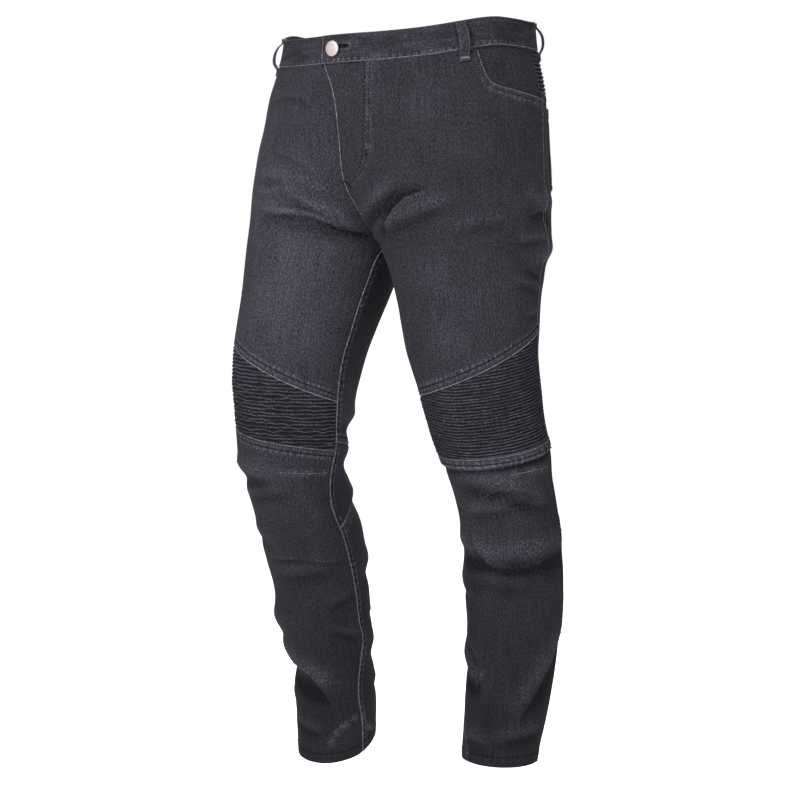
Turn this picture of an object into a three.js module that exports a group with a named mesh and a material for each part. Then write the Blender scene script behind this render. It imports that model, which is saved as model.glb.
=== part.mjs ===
// Motorcycle trousers in grey-black denim, held open in the shape that they have when worn.
// Millimetres, +Z up. The wearer faces -Y and the wearer's left is +X.
// The origin is the middle of the waist opening.
import * as THREE from "three";
import { mergeVertices } from "three/addons/utils/BufferGeometryUtils.js";

// Cloth and seams
const CLOTH = 1.6; // denim wall
const SEAM = 0.3; // clear gap between neighbouring pieces
const SIDE_SEAM = 0.45; // a little more down the long side seams, whose edges are made of straight lengths
const SLANT_SEAM = 0.5; // the same gap measured upright, where a seam slopes
const BAND_SEAM = 0.9; // and under the waistband, whose edge curves
const LAYER = CLOTH + SEAM; // how far a piece is moved out to lie on another

// Waistband
const BAND_HEIGHT = 37;
const BAND_THICK = 2.8;
const BAND_PROUD = 1.0; // how far it stands out from the panels below
const BAND_LAP = 17.5; // how far its left end goes over the right one, past the middle of the front
const BAND_UNDERLAP = 10; // how far the right end goes on under it
const BAND_LIFT = { height: 3.2, full: 14, gone: 62 }; // the left end rises over the right one
// Height of the waist's edge: level at the sides, dipping in front and rising behind between these depths
const WAIST = { side: -7, frontDip: 22, dipFrom: [30, 160], backRise: 13, riseFrom: [20, 147] };

// Heights that the pieces are cut to
const CROTCH_Z = -296;
const FLY = {
  lapTop: 18, // how far the left front laps the right one under the waistband
  lapBelow: 1, // and further down
  curveTop: -74,
  curveEnd: -100,
  lapEnd: [-212, -200],
  liftEnd: [-242, -214],
  lift: 2.2,
  ridge: [8, 30], // distances from the middle over which the lifted edge falls back to the cloth
};
const YOKE = { centre: -112, side: -98 };
const HEM = { left: { z: -991, slope: -0.05 }, right: { z: -1024, slope: 0.3 } };
const KNEE = {
  left: { topIn: -497, topOut: -412, topBend: -20, lowIn: -572, lowOut: -550, lowBend: -12 },
  right: { topIn: -508, topOut: -408, topBend: 10, lowIn: -572, lowOut: -533, lowBend: -4 },
};
const BACK_KNEE = { topIn: -564, topOut: -560, topBend: -14, lowIn: -686, lowOut: -676, lowBend: 40 };
const RIB = { pitch: 5.4, height: 1.5, pointsPerRib: 3 };

// The piece behind the pocket opening, which goes on some way below it
const FACING = { start: 0.6, tuck: 12, clear: 0.4 };
const BACK_POCKET = { from: 0.29, to: 0.81, drop: 16, height: 106, point: 16 };
const SEAM_ON_CURVE = 0.5; // the gap under a small flat piece that lies on curved cloth
const LOOP = {
  width: 13,
  thick: 1.8,
  // distances below the waist's edge, and how far the strip has risen there from its seat to its full gap
  profile: [[1.5, 0], [7, 0.02], [12, 0.55], [18, 0.9], [24, 1], [31, 0.92], [37, 0.6], [43, 0.08], [51, 0]],
};
const ON_CLOTH = 0.5;
const ON_RIBS = RIB.height + 0.4;
const BELT_LOOPS = {
  front_left: { side: "left", half: "front", share: 0.57, gap: 8.5, seat: ON_CLOTH },
  front_right: { side: "right", half: "front", share: 0.57, gap: 10, seat: ON_CLOTH },
  back_left: { side: "left", half: "back", share: 0.74, gap: 8.5, seat: ON_RIBS },
  back_right: { side: "right", half: "back", share: 0.74, gap: 8, seat: ON_RIBS },
  centre_back: { side: "left", half: "back", share: 0, gap: 7, seat: ON_RIBS },
};
const BUTTON = { fromMiddle: 3, drop: 18, clear: 0.7, sides: 24 };
// The button's outline as [radius, height]: its shank, the head's underside, its rim and its dome
const BUTTON_OUTLINE = [[0, 0], [6, 0], [6, 1.6], [9.2, 1.6], [10, 2.5], [8.6, 4.2], [4.5, 5], [0, 5]];

// Columns of points round each half, as shares from the inner seam to the side seam
const FRONT_SHARES = [0, 0.04, 0.11, 0.2, 0.3, 0.4, 0.5, 0.6, 0.635, 0.65, 0.675, 0.72, 0.81, 0.91, 1];
const EVEN_SHARES = [0, 0.1, 0.2, 0.3, 0.4, 0.5, 0.6, 0.7, 0.8, 0.9, 1];
const BAND_COLUMNS = 8;
const BAND_FIRST = 0.12; // the first of the waistband's even columns beside the middle

const SIDES = { left: 1, right: -1 };

// A table read between its rows with a smooth curve. The first column is the one that it is read by.
function smoothTable(names, rows) {
  const keys = names.split(" ");
  const sorted = [...rows].sort((a, b) => a[0] - b[0]);
  const lastRow = sorted.length - 1;
  const slope = (i, k) => {
    const a = sorted[Math.max(i - 1, 0)];
    const b = sorted[Math.min(i + 1, lastRow)];
    return (b[k] - a[k]) / (b[0] - a[0]);
  };
  return (value) => {
    let i = 0;
    while (i < lastRow - 1 && sorted[i + 1][0] < value) i++;
    const low = sorted[i];
    const high = sorted[i + 1];
    const step = high[0] - low[0];
    const t = THREE.MathUtils.clamp((value - low[0]) / step, 0, 1);
    const blend = t * t * (3 - 2 * t);
    const row = {};
    keys.forEach((key, k) => {
      const leave = slope(i, k) * step * t * (1 - t) * (1 - t);
      const arrive = slope(i + 1, k) * step * t * t * (1 - t);
      row[key] = low[k] * (1 - blend) + high[k] * blend + leave - arrive;
    });
    return row;
  };
}

// Sections of each half from the waist to the hem. middle and depth place the centre of the half,
// out, in, front and back are its reach from there, inseam is how far the inner seam lies behind the
// centre, and outseam is the angle of the side seam from the front, in degrees.
const SECTION_NAMES = "z middle depth out in front back inseam outseam";
const SECTIONS = {
  left: smoothTable(SECTION_NAMES, [
    [30, 6, 0, 170, 6, 153, 147, 0, 104],
    [0, 8, 0, 169, 8, 153, 147, 0, 104],
    [-40, 14, 0, 168, 14, 154, 148, 0, 105],
    [-96, 30, 0, 165, 30, 155, 146, 0, 107],
    [-140, 44, 0, 153, 44, 153, 148, 0, 107],
    [-180, 60, 0, 137, 60, 148, 148, 0, 108],
    [-220, 77, 0, 121, 77, 142, 144, -20, 109],
    [-262, 94, 2, 105, 94, 132, 134, -34, 110],
    [-296, 104, 4, 98, 104, 124, 122, -42, 111],
    [-330, 108, -2, 92, 94, 112, 112, -34, 112],
    [-366, 110, -4, 88, 88, 102, 102, -28, 113],
    [-407, 113, -5, 85, 84, 96, 96, -24, 115],
    [-447, 116, -5, 82, 81, 89, 90, -20, 116],
    [-488, 120, 3, 79, 78, 85, 85, -14, 117],
    [-529, 124.5, 10, 77, 77, 80, 80, -8, 117],
    [-569, 129.5, 21, 76, 75, 78, 76, -9, 116],
    [-610, 134.5, 32, 68, 67, 71, 71, -13, 114],
    [-651, 139.5, 42, 65, 64, 68, 69, -16, 112],
    [-692, 143, 45, 66, 64, 67, 70, -12, 112],
    [-733, 145, 45, 67, 65, 67, 72, -8, 112],
    [-774, 146.5, 46, 66, 64, 67, 71, -6, 112],
    [-815, 147.5, 44, 64, 61, 64, 68, -6, 112],
    [-855, 148.5, 37, 61, 59, 62, 65, -8, 112],
    [-896, 149, 32, 57, 55, 59, 62, -12, 112],
    [-936, 149, 25, 54, 52, 55, 58, -14, 112],
    [-976, 148.5, 16, 50, 49, 52, 54, -14, 112],
    [-1025, 148, 10, 46, 46, 48, 50, -14, 112],
  ]),
  right: smoothTable(SECTION_NAMES, [
    [30, 6, 0, 170, 6, 153, 147, 0, 104],
    [0, 8, 0, 167, 8, 153, 147, 0, 104],
    [-40, 14, 0, 164, 14, 154, 148, 0, 105],
    [-96, 30, -2, 169, 30, 157, 146, 0, 106],
    [-138, 45, -8, 158, 45, 155, 146, 0, 106],
    [-179, 62, -17, 145, 62, 150, 146, 0, 105],
    [-221, 78, -27, 131, 78, 141, 146, -10, 104],
    [-262, 92, -36, 118, 92, 130, 144, -10, 104],
    [-296, 102, -43, 110, 102, 123, 132, 5, 104],
    [-330, 107, -53, 104, 99, 117, 123, -4, 104],
    [-365, 111, -62, 98, 97, 113, 115, -14, 104],
    [-407, 115, -76, 92, 92, 107, 108, -16, 104],
    [-448, 118.5, -88, 87, 88, 99, 101, -17, 104],
    [-490, 122, -93, 84, 84, 93, 92, -13, 104],
    [-531, 125.5, -95, 79, 79, 84, 83, -5, 104],
    [-572, 129, -96, 75, 74, 78, 75, 4, 104],
    [-614, 132.5, -83, 73, 72, 78, 76, -14, 104],
    [-656, 136, -61, 73, 70, 80, 76, -26, 104],
    [-698, 139, -41, 74, 70, 82, 76, -20, 104],
    [-741, 141.5, -26, 73, 68, 80, 73, -14, 104],
    [-785, 143.5, -13, 70, 64, 76, 69, -8, 104],
    [-829, 145, -7, 69, 63, 75, 67, -4, 104],
    [-860, 145.5, 3, 67, 59, 74, 63, 0, 104],
    [-896, 147, 15, 61, 57, 67, 60, -14, 104],
    [-939, 148, 20, 60, 59, 66, 62, -24, 104],
    [-982, 148.5, 22, 60, 59, 63, 61, -18, 104],
    [-1035, 149, 24, 59, 56, 61, 58, -14, 104],
  ]),
};

// The centre seam from the waist to the crotch: its depth, and how far the cloth has turned there,
// in degrees, from lying across the body to lying between the legs.
const CENTRE_SEAM = {
  front: smoothTable("z y turn", [
    [30, -154, 0],
    [0, -154, 0],
    [-60, -155.5, 0],
    [-100, -156, 0],
    [-140, -153, 2],
    [-165, -148, 5],
    [-205, -138, 14],
    [-232, -124, 30],
    [-257, -101, 50],
    [-280, -72, 72],
    [-291, -53, 84],
    [-296, -38, 90],
  ]),
  back: smoothTable("z y turn", [
    [30, 147, 0],
    [0, 147, 0],
    [-40, 148, 0],
    [-90, 145, 2],
    [-140, 140, 8],
    [-190, 125, 20],
    [-235, 95, 40],
    [-270, 48, 66],
    [-288, 6, 80],
    [-294, -20, 87],
    [-296, -38, 90],
  ]),
};

// Heights of the rows of points, the same on every panel so that neighbours meet along a seam.
const ROW_STEP = 22;
const KNEE_ROWS = [-532, -543, -554, -565, -576, -587, -598, -609, -620];
const CROTCH_ROWS = [-243, -257, -270, -280, -288, -292, -294.6, CROTCH_Z, -305];
const LOWEST_ROW = -1040;

function rowHeights() {
  const rows = [...CROTCH_ROWS, ...KNEE_ROWS];
  const stretches = [
    [20, CROTCH_ROWS[0]],
    [CROTCH_ROWS.at(-1) - ROW_STEP / 2, KNEE_ROWS[0]],
    [KNEE_ROWS.at(-1) - ROW_STEP, LOWEST_ROW],
  ];
  for (const [from, to] of stretches) {
    for (let z = from; z > to + ROW_STEP / 2; z -= ROW_STEP) rows.push(z);
  }
  return rows.sort((a, b) => a - b);
}

const ROWS = rowHeights();
const ARC_STEPS = 14; // points in each quarter of a section
const HANDLE = 0.5523; // share of a quarter's reach that makes a cubic curve follow an ellipse
const { degToRad, clamp, lerp, smoothstep } = THREE.MathUtils;

// Where the cloth of one half ends at its inner side: on the centre seam above the crotch, and at the
// inseam below it.
function innerEnd(side, half, z, section) {
  if (z > CROTCH_Z) {
    const seam = CENTRE_SEAM[half](z);
    return { x: 0, y: seam.y, turn: degToRad(seam.turn) };
  }
  const x = SIDES[side] * (section.middle - section.in);
  return { x, y: section.depth + section.inseam, turn: Math.PI / 2 };
}

// The quarter of a section between its inner end and its foremost or rearmost point.
function innerQuarter(side, half, z, section) {
  const across = SIDES[side];
  const away = half === "front" ? -1 : 1;
  const from = innerEnd(side, half, z, section);
  const to = { x: across * section.middle, y: section.depth + away * section[half] };
  const dx = Math.abs(to.x - from.x);
  const dy = Math.abs(to.y - from.y);
  const reach = HANDLE * (dx * Math.cos(from.turn) + dy * Math.sin(from.turn));
  return new THREE.CubicBezierCurve(
    new THREE.Vector2(from.x, from.y),
    new THREE.Vector2(
      from.x + across * reach * Math.cos(from.turn),
      from.y + away * reach * Math.sin(from.turn),
    ),
    new THREE.Vector2(to.x - across * HANDLE * dx, to.y),
    new THREE.Vector2(to.x, to.y),
  );
}

// One half's section at a height: points from the inner end to the side seam, the direction at each, and
// the length to each.
function sectionArc(side, half, z) {
  const section = SECTIONS[side](z);
  const quarter = innerQuarter(side, half, z, section);
  const points = quarter.getPoints(ARC_STEPS);
  const directions = points.map((_, i) => quarter.getTangent(i / ARC_STEPS));
  const first = half === "front" ? 0 : Math.PI;
  const last = degToRad(section.outseam);
  const onward = half === "front" ? 1 : -1;
  for (let i = 1; i <= 2 * ARC_STEPS; i++) {
    const angle = lerp(first, last, i / (2 * ARC_STEPS));
    const [sine, cosine] = [Math.sin(angle), Math.cos(angle)];
    const reach = cosine > 0 ? section.front : section.back;
    points.push(
      new THREE.Vector2(SIDES[side] * (section.middle + section.out * sine), section.depth - reach * cosine),
    );
    const direction = new THREE.Vector2(SIDES[side] * section.out * cosine, reach * sine);
    directions.push(direction.multiplyScalar(onward).normalize());
  }
  const lengths = [0];
  for (let i = 1; i < points.length; i++) {
    lengths.push(lengths[i - 1] + points[i].distanceTo(points[i - 1]));
  }
  return { points, directions, lengths };
}

const storedArcs = new Map();
function storedArc(side, half, z) {
  const key = `${side} ${half} ${z.toFixed(2)}`;
  if (!storedArcs.has(key)) storedArcs.set(key, sectionArc(side, half, z));
  return storedArcs.get(key);
}

// The point of a section at a share of its length, with the outward direction there.
function onArc(arc, share) {
  const { points, directions, lengths } = arc;
  const target = share * lengths.at(-1);
  let i = 0;
  while (i < lengths.length - 2 && lengths[i + 1] < target) i++;
  const t = (target - lengths[i]) / (lengths[i + 1] - lengths[i]);
  const position = points[i].clone().lerp(points[i + 1], t);
  const along = directions[i].clone().lerp(directions[i + 1], t).normalize();
  return { position, along };
}

function arcLength(side, half, z) {
  return storedArc(side, half, z).lengths.at(-1);
}

// A point of the cloth's outer face, lift millimetres out from it. share runs from the inner seam (0)
// to the side seam (1) and below 0 it goes on over the other side's cloth.
function clothPoint(side, half, share, z, lift = 0) {
  if (share < 0) {
    const other = side === "left" ? "right" : "left";
    const sameDistance = (-share * arcLength(side, half, z)) / arcLength(other, half, z);
    return clothPoint(other, half, sameDistance, z, lift);
  }
  const { position, along } = onArc(storedArc(side, half, z), share);
  const turn = SIDES[side] * (half === "front" ? 1 : -1);
  const out = new THREE.Vector2(turn * along.y, -turn * along.x);
  const moved = position.addScaledVector(out, lift + foldHeight(side, half, share, z));
  return new THREE.Vector3(moved.x, moved.y, z);
}

// Folds of the cloth, each a soft ridge between two points, with a trough under it. Places round a leg run
// from the inner seam (0) over the front to the side seam (1) and over the back to the inner seam (2).
// under is the trough's share of the ridge's height, and a negative height makes a trough alone.
const FOLD_NAMES = "side place0 z0 place1 z1 width height under".split(" ");
const FOLDS = [
  ["right", 0.46, -246, 0.08, -272, 13, 3.2, 1],
  ["right", 0.3, -205, 0.12, -256, 12, 2.4, 1],
  ["right", 1.08, -225, 0.78, -232, 15, 3.5, 0.8],
  ["right", 1.75, -300, 1.2, -292, 16, 4, 1],
  ["right", 1.7, -336, 1.25, -345, 15, 3, 1],
  ["right", 1.95, -532, 1.3, -548, 13, 5, 1.2],
  ["right", 1.85, -584, 1.15, -600, 14, 5.5, 1],
  ["right", 0.85, -600, 0.3, -612, 12, 4, 1.2],
  ["right", 1.8, -650, 1.35, -640, 13, 3.5, 1],
  ["right", 1.9, -756, 1.3, -742, 15, 3.5, 1],
  ["right", 1.12, -812, 0.5, -846, 15, 4, 0.8],
  ["right", 0.9, -868, 0.2, -930, 14, 5.5, 1.1],
  ["right", 1.8, -872, 1.3, -890, 14, 3.5, 1],
  ["right", 1.15, -938, 0.62, -958, 12, 3, 1],
  ["left", 1.16, -250, 0.84, -240, 14, 4, 0.9],
  ["left", 1.14, -308, 0.88, -318, 13, 3, 0.8],
  ["left", 1.75, -300, 1.25, -294, 16, 4, 1],
  ["left", 1.7, -340, 1.3, -350, 15, 3, 1],
  ["left", 1.9, -540, 1.3, -552, 13, 4, 1.1],
  ["left", 1.85, -590, 1.3, -602, 14, 4, 1],
  ["left", 0.8, -618, 0.28, -604, 13, 3, 1],
  ["left", 0.5, -712, 0.1, -694, 14, 3.6, 1.2],
  ["left", 1.1, -694, 0.42, -712, 15, 4.2, 1.2],
  ["left", 1.85, -722, 1.35, -708, 15, 3, 1],
  ["left", 0.42, -888, 0.08, -838, 13, 3, 1],
  ["left", 1.05, -806, 0.66, -916, 13, 3.4, 0.8],
  ["left", 1.8, -846, 1.3, -862, 14, 3.2, 1],
  ["left", 1.7, -922, 1.25, -936, 13, 2.6, 1],
].map((row) => Object.fromEntries(FOLD_NAMES.map((name, i) => [name, row[i]])));
const FOLD_REACH = 110; // heights further from a fold than this don't feel it
const RIDGE_AT = 0.5; // the ridge's middle and the trough's, in widths of the fold
const TROUGH_AT = -1;
const HALF_GIRTH = { low: -1000, atLow: 150, high: -250, atHigh: 265 }; // rough length of half a section
const FOLD_ENDS = [-0.12, 0.3]; // shares of a fold's length over which it rises from nothing
const CENTRE_CALM = 0.12; // no fold reaches the centre seam closer than this

function halfGirth(z) {
  const { low, atLow, high, atHigh } = HALF_GIRTH;
  return lerp(atLow, atHigh, smoothstep(z, low, high));
}

function foldHeight(side, half, share, z) {
  const place = half === "front" ? share : 2 - share;
  const calm = z > CROTCH_Z ? smoothstep(share, 0, CENTRE_CALM) : 1;
  let total = 0;
  for (const fold of FOLDS) {
    if (fold.side !== side || Math.abs(z - (fold.z0 + fold.z1) / 2) > FOLD_REACH) continue;
    const round = halfGirth(fold.z0);
    let ahead = place - fold.place0;
    if (ahead > 1) ahead -= 2;
    if (ahead < -1) ahead += 2;
    const line = new THREE.Vector2((fold.place1 - fold.place0) * round, fold.z1 - fold.z0);
    const point = new THREE.Vector2(ahead * round, z - fold.z0);
    const length = line.length();
    const t = point.dot(line) / (length * length);
    const rise = (point.cross(line) / length / fold.width) * Math.sign(-line.x);
    const ends = smoothstep(t, ...FOLD_ENDS) * smoothstep(1 - t, ...FOLD_ENDS);
    const ridge = Math.exp(-((rise - RIDGE_AT) ** 2));
    const trough = Math.exp(-((rise - TROUGH_AT) ** 2)) * fold.under;
    total += fold.height * ends * (ridge - trough);
  }
  return total * calm;
}

// The waist: height of its edge at a place, and of a line at some distance below it
function waistEdge(point) {
  const dip = WAIST.frontDip * smoothstep(-point.y, ...WAIST.dipFrom);
  const rise = WAIST.backRise * smoothstep(point.y, ...WAIST.riseFrom);
  return WAIST.side - dip + rise;
}

function belowWaist(side, half, share, drop) {
  const onWaist = clothPoint(side, half, share, 0);
  return waistEdge(onWaist) - drop;
}

const bandBottom = (side, half) => (share) => belowWaist(side, half, share, BAND_HEIGHT + BAND_SEAM);

// A slanting seam from the inner to the outer side of a half: partly straight and partly S-shaped, with a
// bow in its middle.
const S_SHAPE = 0.6;
const slantSeam = (inner, outer, bow) => (share) => {
  const along = lerp(share, smoothstep(share, 0, 1), S_SHAPE);
  return lerp(inner, outer, along) + bow * Math.sin(Math.PI * share);
};

const moved = (line, distance) => (share) => line(share) + distance;

// The pocket opening: its height by the distance along the panel from where it leaves the waistband.
const POCKET_START = 0.635; // share of the front half at the waistband
const pocketEdge = smoothTable("distance drop", [
  [0, 0],
  [2, 16],
  [5, 29],
  [10, 41],
  [20, 48],
  [45, 54],
  [100, 61],
]);

function pocketLine(side) {
  return (share) => {
    const bottom = bandBottom(side, "front")(share);
    if (share <= POCKET_START) return bottom;
    const distance = (share - POCKET_START) * arcLength(side, "front", -40);
    return bottom - pocketEdge(distance).drop;
  };
}

function hemLine(side, half) {
  return (share) => {
    const { z, slope } = HEM[side];
    const centre = SECTIONS[side](z);
    const place = clothPoint(side, half, share, z);
    return z + slope * (place.y - centre.depth);
  };
}

// A column of points up the cloth: its lower end, the rows between, and its upper end.
const END_MARGIN = 0.15; // share of a row's step that a row keeps from the ends of a column
function columnHeights(bottom, top, rows = ROWS) {
  const between = rows.filter((z, i) => {
    const step = Math.abs((rows[i + 1] ?? rows[i - 1]) - z);
    const margin = END_MARGIN * step;
    return z > bottom + margin && z < top - margin;
  });
  return [bottom, ...between, top];
}

function evenShares(from, to, count) {
  return Array.from({ length: count + 1 }, (_, i) => lerp(from, to, i / count));
}

// Triangles between two columns of points, taking the lower of the next points each time.
function zip(columnA, columnB, triangles) {
  let a = 0;
  let b = 0;
  while (a < columnA.length - 1 || b < columnB.length - 1) {
    const nextA = columnA[a + 1]?.z ?? Infinity;
    const nextB = columnB[b + 1]?.z ?? Infinity;
    if (nextA <= nextB) {
      triangles.push([columnA[a], columnB[b], columnA[a + 1]]);
      a++;
    } else {
      triangles.push([columnA[a], columnB[b], columnB[b + 1]]);
      b++;
    }
  }
}

// A closed wall between an outer and an inner face. Each face is a list of columns, bottom to top.
function wallGeometry(outer, inner) {
  const triangles = [];
  const last = outer.length - 1;
  for (let i = 0; i < last; i++) {
    zip(outer[i], outer[i + 1], triangles);
    const insideOut = [];
    zip(inner[i], inner[i + 1], insideOut);
    triangles.push(...insideOut.map(([a, b, c]) => [a, c, b]));
    for (const end of [0, -1]) {
      const ring = [outer[i].at(end), outer[i + 1].at(end), inner[i + 1].at(end), inner[i].at(end)];
      if (end === 0) ring.reverse();
      triangles.push([ring[0], ring[1], ring[2]], [ring[0], ring[2], ring[3]]);
    }
  }
  zip(inner[0], outer[0], triangles);
  zip(outer[last], inner[last], triangles);
  return closedGeometry(triangles);
}

const SAME_POINT = 1e-3;
function closedGeometry(triangles) {
  const geometry = new THREE.BufferGeometry().setFromPoints(triangles.flat());
  const merged = mergeVertices(geometry, SAME_POINT);
  if (signedVolume(merged) < 0) {
    const index = merged.index.array;
    for (let i = 0; i < index.length; i += 3) [index[i], index[i + 1]] = [index[i + 1], index[i]];
  }
  merged.computeVertexNormals();
  return merged;
}

function signedVolume(geometry) {
  const { array } = geometry.index;
  const corner = (i) => new THREE.Vector3().fromBufferAttribute(geometry.attributes.position, array[i]);
  let volume = 0;
  for (let i = 0; i < array.length; i += 3) volume += corner(i).dot(corner(i + 1).cross(corner(i + 2)));
  return volume;
}

// A panel of cloth on one half. shares are its columns, each a share or a share by height. top and bottom
// are its edges by share, lift is how far it lies out by share and height, and ribs raises cross ribs.
function panel({ side, half, shares, top, bottom, lift = () => 0, ribs = false }) {
  const outer = [];
  const inner = [];
  for (const column of shares) {
    const shareAt = typeof column === "function" ? column : () => insetShare(side, half, column);
    const low = bottom(shareAt(CROTCH_Z));
    const high = top(shareAt(-BAND_HEIGHT));
    const face = (z, extra) => {
      const share = shareAt(z);
      return clothPoint(side, half, share, z, lift(share, z) + extra);
    };
    const heights = columnHeights(low, high);
    inner.push(heights.map((z) => face(z, -CLOTH)));
    outer.push(ribs ? ribbedColumn(low, high, face) : heights.map((z) => face(z, 0)));
  }
  return wallGeometry(outer, inner);
}

// The first and last column stand half a seam's gap back from the seam.
function insetShare(side, half, share) {
  const inset = SIDE_SEAM / 2 / arcLength(side, half, CROTCH_Z);
  return clamp(share, inset, 1 - inset);
}

function ribbedColumn(low, high, face) {
  const count = Math.max(Math.round((high - low) / RIB.pitch), 1);
  const steps = count * RIB.pointsPerRib;
  return Array.from({ length: steps + 1 }, (_, i) => {
    const wave = (1 - Math.cos((2 * Math.PI * i) / RIB.pointsPerRib)) / 2;
    return face(lerp(low, high, i / steps), RIB.height * wave);
  });
}

// The left front laps over the right one at the fly, and its edge is lifted there.
function flyEdge(z) {
  const upper = lerp(FLY.lapBelow, FLY.lapTop, smoothstep(z, FLY.curveEnd, FLY.curveTop));
  return SIDE_SEAM / 2 - upper * smoothstep(z, ...FLY.lapEnd);
}

function flyColumns() {
  const byDistance = (distance) => (z) => distance(z) / arcLength("left", "front", z);
  return evenShares(0, 1, 3).map((t) => byDistance((z) => lerp(flyEdge(z), FLY.ridge[0], t)));
}

function flyLift(share, z) {
  const distance = share * arcLength("left", "front", z);
  return FLY.lift * smoothstep(z, ...FLY.liftEnd) * (1 - smoothstep(distance, ...FLY.ridge));
}

// The waistband goes once round and its left end laps over the right one.
function waistband() {
  const outer = [];
  const inner = [];
  const bandColumn = (side, half, share) => {
    const distance = share * arcLength(side, half, 0);
    const laps = side === "left" && half === "front";
    const fall = smoothstep(distance, BAND_LIFT.full, BAND_LIFT.gone);
    const lift = laps ? BAND_LIFT.height * (1 - fall) : 0;
    const edge = belowWaist(side, half, share, 0);
    const heights = [edge - BAND_HEIGHT, edge - BAND_HEIGHT / 2, edge];
    outer.push(heights.map((z) => clothPoint(side, half, share, z, BAND_PROUD + lift)));
    inner.push(heights.map((z) => clothPoint(side, half, share, z, BAND_PROUD + lift - BAND_THICK)));
  };
  const lap = -BAND_LAP / arcLength("left", "front", 0);
  const underlap = -BAND_UNDERLAP / arcLength("right", "front", 0);
  const inFront = [BAND_FIRST / 2, ...evenShares(BAND_FIRST, 1, BAND_COLUMNS)];
  const behind = evenShares(1, 0, BAND_COLUMNS).slice(1);
  for (const share of [lap, lap / 2, 0, ...inFront]) bandColumn("left", "front", share);
  for (const share of behind) bandColumn("left", "back", share);
  for (const share of [...behind].reverse().slice(1)) bandColumn("right", "back", share);
  for (const share of [...inFront].reverse()) bandColumn("right", "front", share);
  for (const share of [0, underlap]) bandColumn("right", "front", share);
  return wallGeometry(outer, inner);
}

// A belt loop: a strip that is sewn flat at both ends and stands off the waistband between them.
function beltLoop({ side, half, share, gap, seat }) {
  const halfWidth = LOOP.width / 2 / arcLength(side, half, 0);
  const outer = [];
  const inner = [];
  for (const column of [share - halfWidth, share + halfWidth]) {
    const points = LOOP.profile.map(([drop, rise]) => {
      const flat = drop > BAND_HEIGHT ? seat : BAND_PROUD + SEAM_ON_CURVE;
      return { z: belowWaist(side, half, share, drop), lift: lerp(flat, BAND_PROUD + gap, rise) };
    });
    points.reverse();
    outer.push(points.map(({ z, lift }) => clothPoint(side, half, column, z, lift + LOOP.thick)));
    inner.push(points.map(({ z, lift }) => clothPoint(side, half, column, z, lift)));
  }
  return wallGeometry(outer, inner);
}

// The domed shank button on the waistband's upper end.
function button() {
  const profile = BUTTON_OUTLINE.map(([radius, height]) => new THREE.Vector2(radius, height));
  const geometry = new THREE.LatheGeometry(profile, BUTTON.sides);
  const share = BUTTON.fromMiddle / arcLength("left", "front", 0);
  const z = belowWaist("left", "front", share, BUTTON.drop);
  const onBand = (extra) => clothPoint("left", "front", share, z, BAND_PROUD + BAND_LIFT.height + extra);
  const seat = onBand(BUTTON.clear);
  const out = onBand(1).sub(onBand(0));
  geometry.applyQuaternion(new THREE.Quaternion().setFromUnitVectors(new THREE.Vector3(0, 1, 0), out));
  geometry.translate(seat.x, seat.y, seat.z);
  return geometry;
}

// Colours of the washed denim and the metal
const FINISH = {
  denim: new THREE.MeshStandardMaterial({ color: 0x3b3b43, roughness: 0.92, metalness: 0 }),
  stretch: new THREE.MeshStandardMaterial({ color: 0x34333a, roughness: 0.9, metalness: 0 }),
  metal: new THREE.MeshStandardMaterial({ color: 0xb9aca6, roughness: 0.35, metalness: 0.9 }),
};

const trousers = new THREE.Group();
trousers.name = "motorcycle_trousers";

function add(name, geometry, finish) {
  const mesh = new THREE.Mesh(geometry, FINISH[finish]);
  mesh.name = name;
  trousers.add(mesh);
}

function backPocketBottom(yokeLow) {
  const { from, to, drop, height, point } = BACK_POCKET;
  return (share) => {
    const towardsMiddle = 1 - Math.abs((2 * (share - from)) / (to - from) - 1);
    return yokeLow(share) - drop - height - point * towardsMiddle;
  };
}

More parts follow.
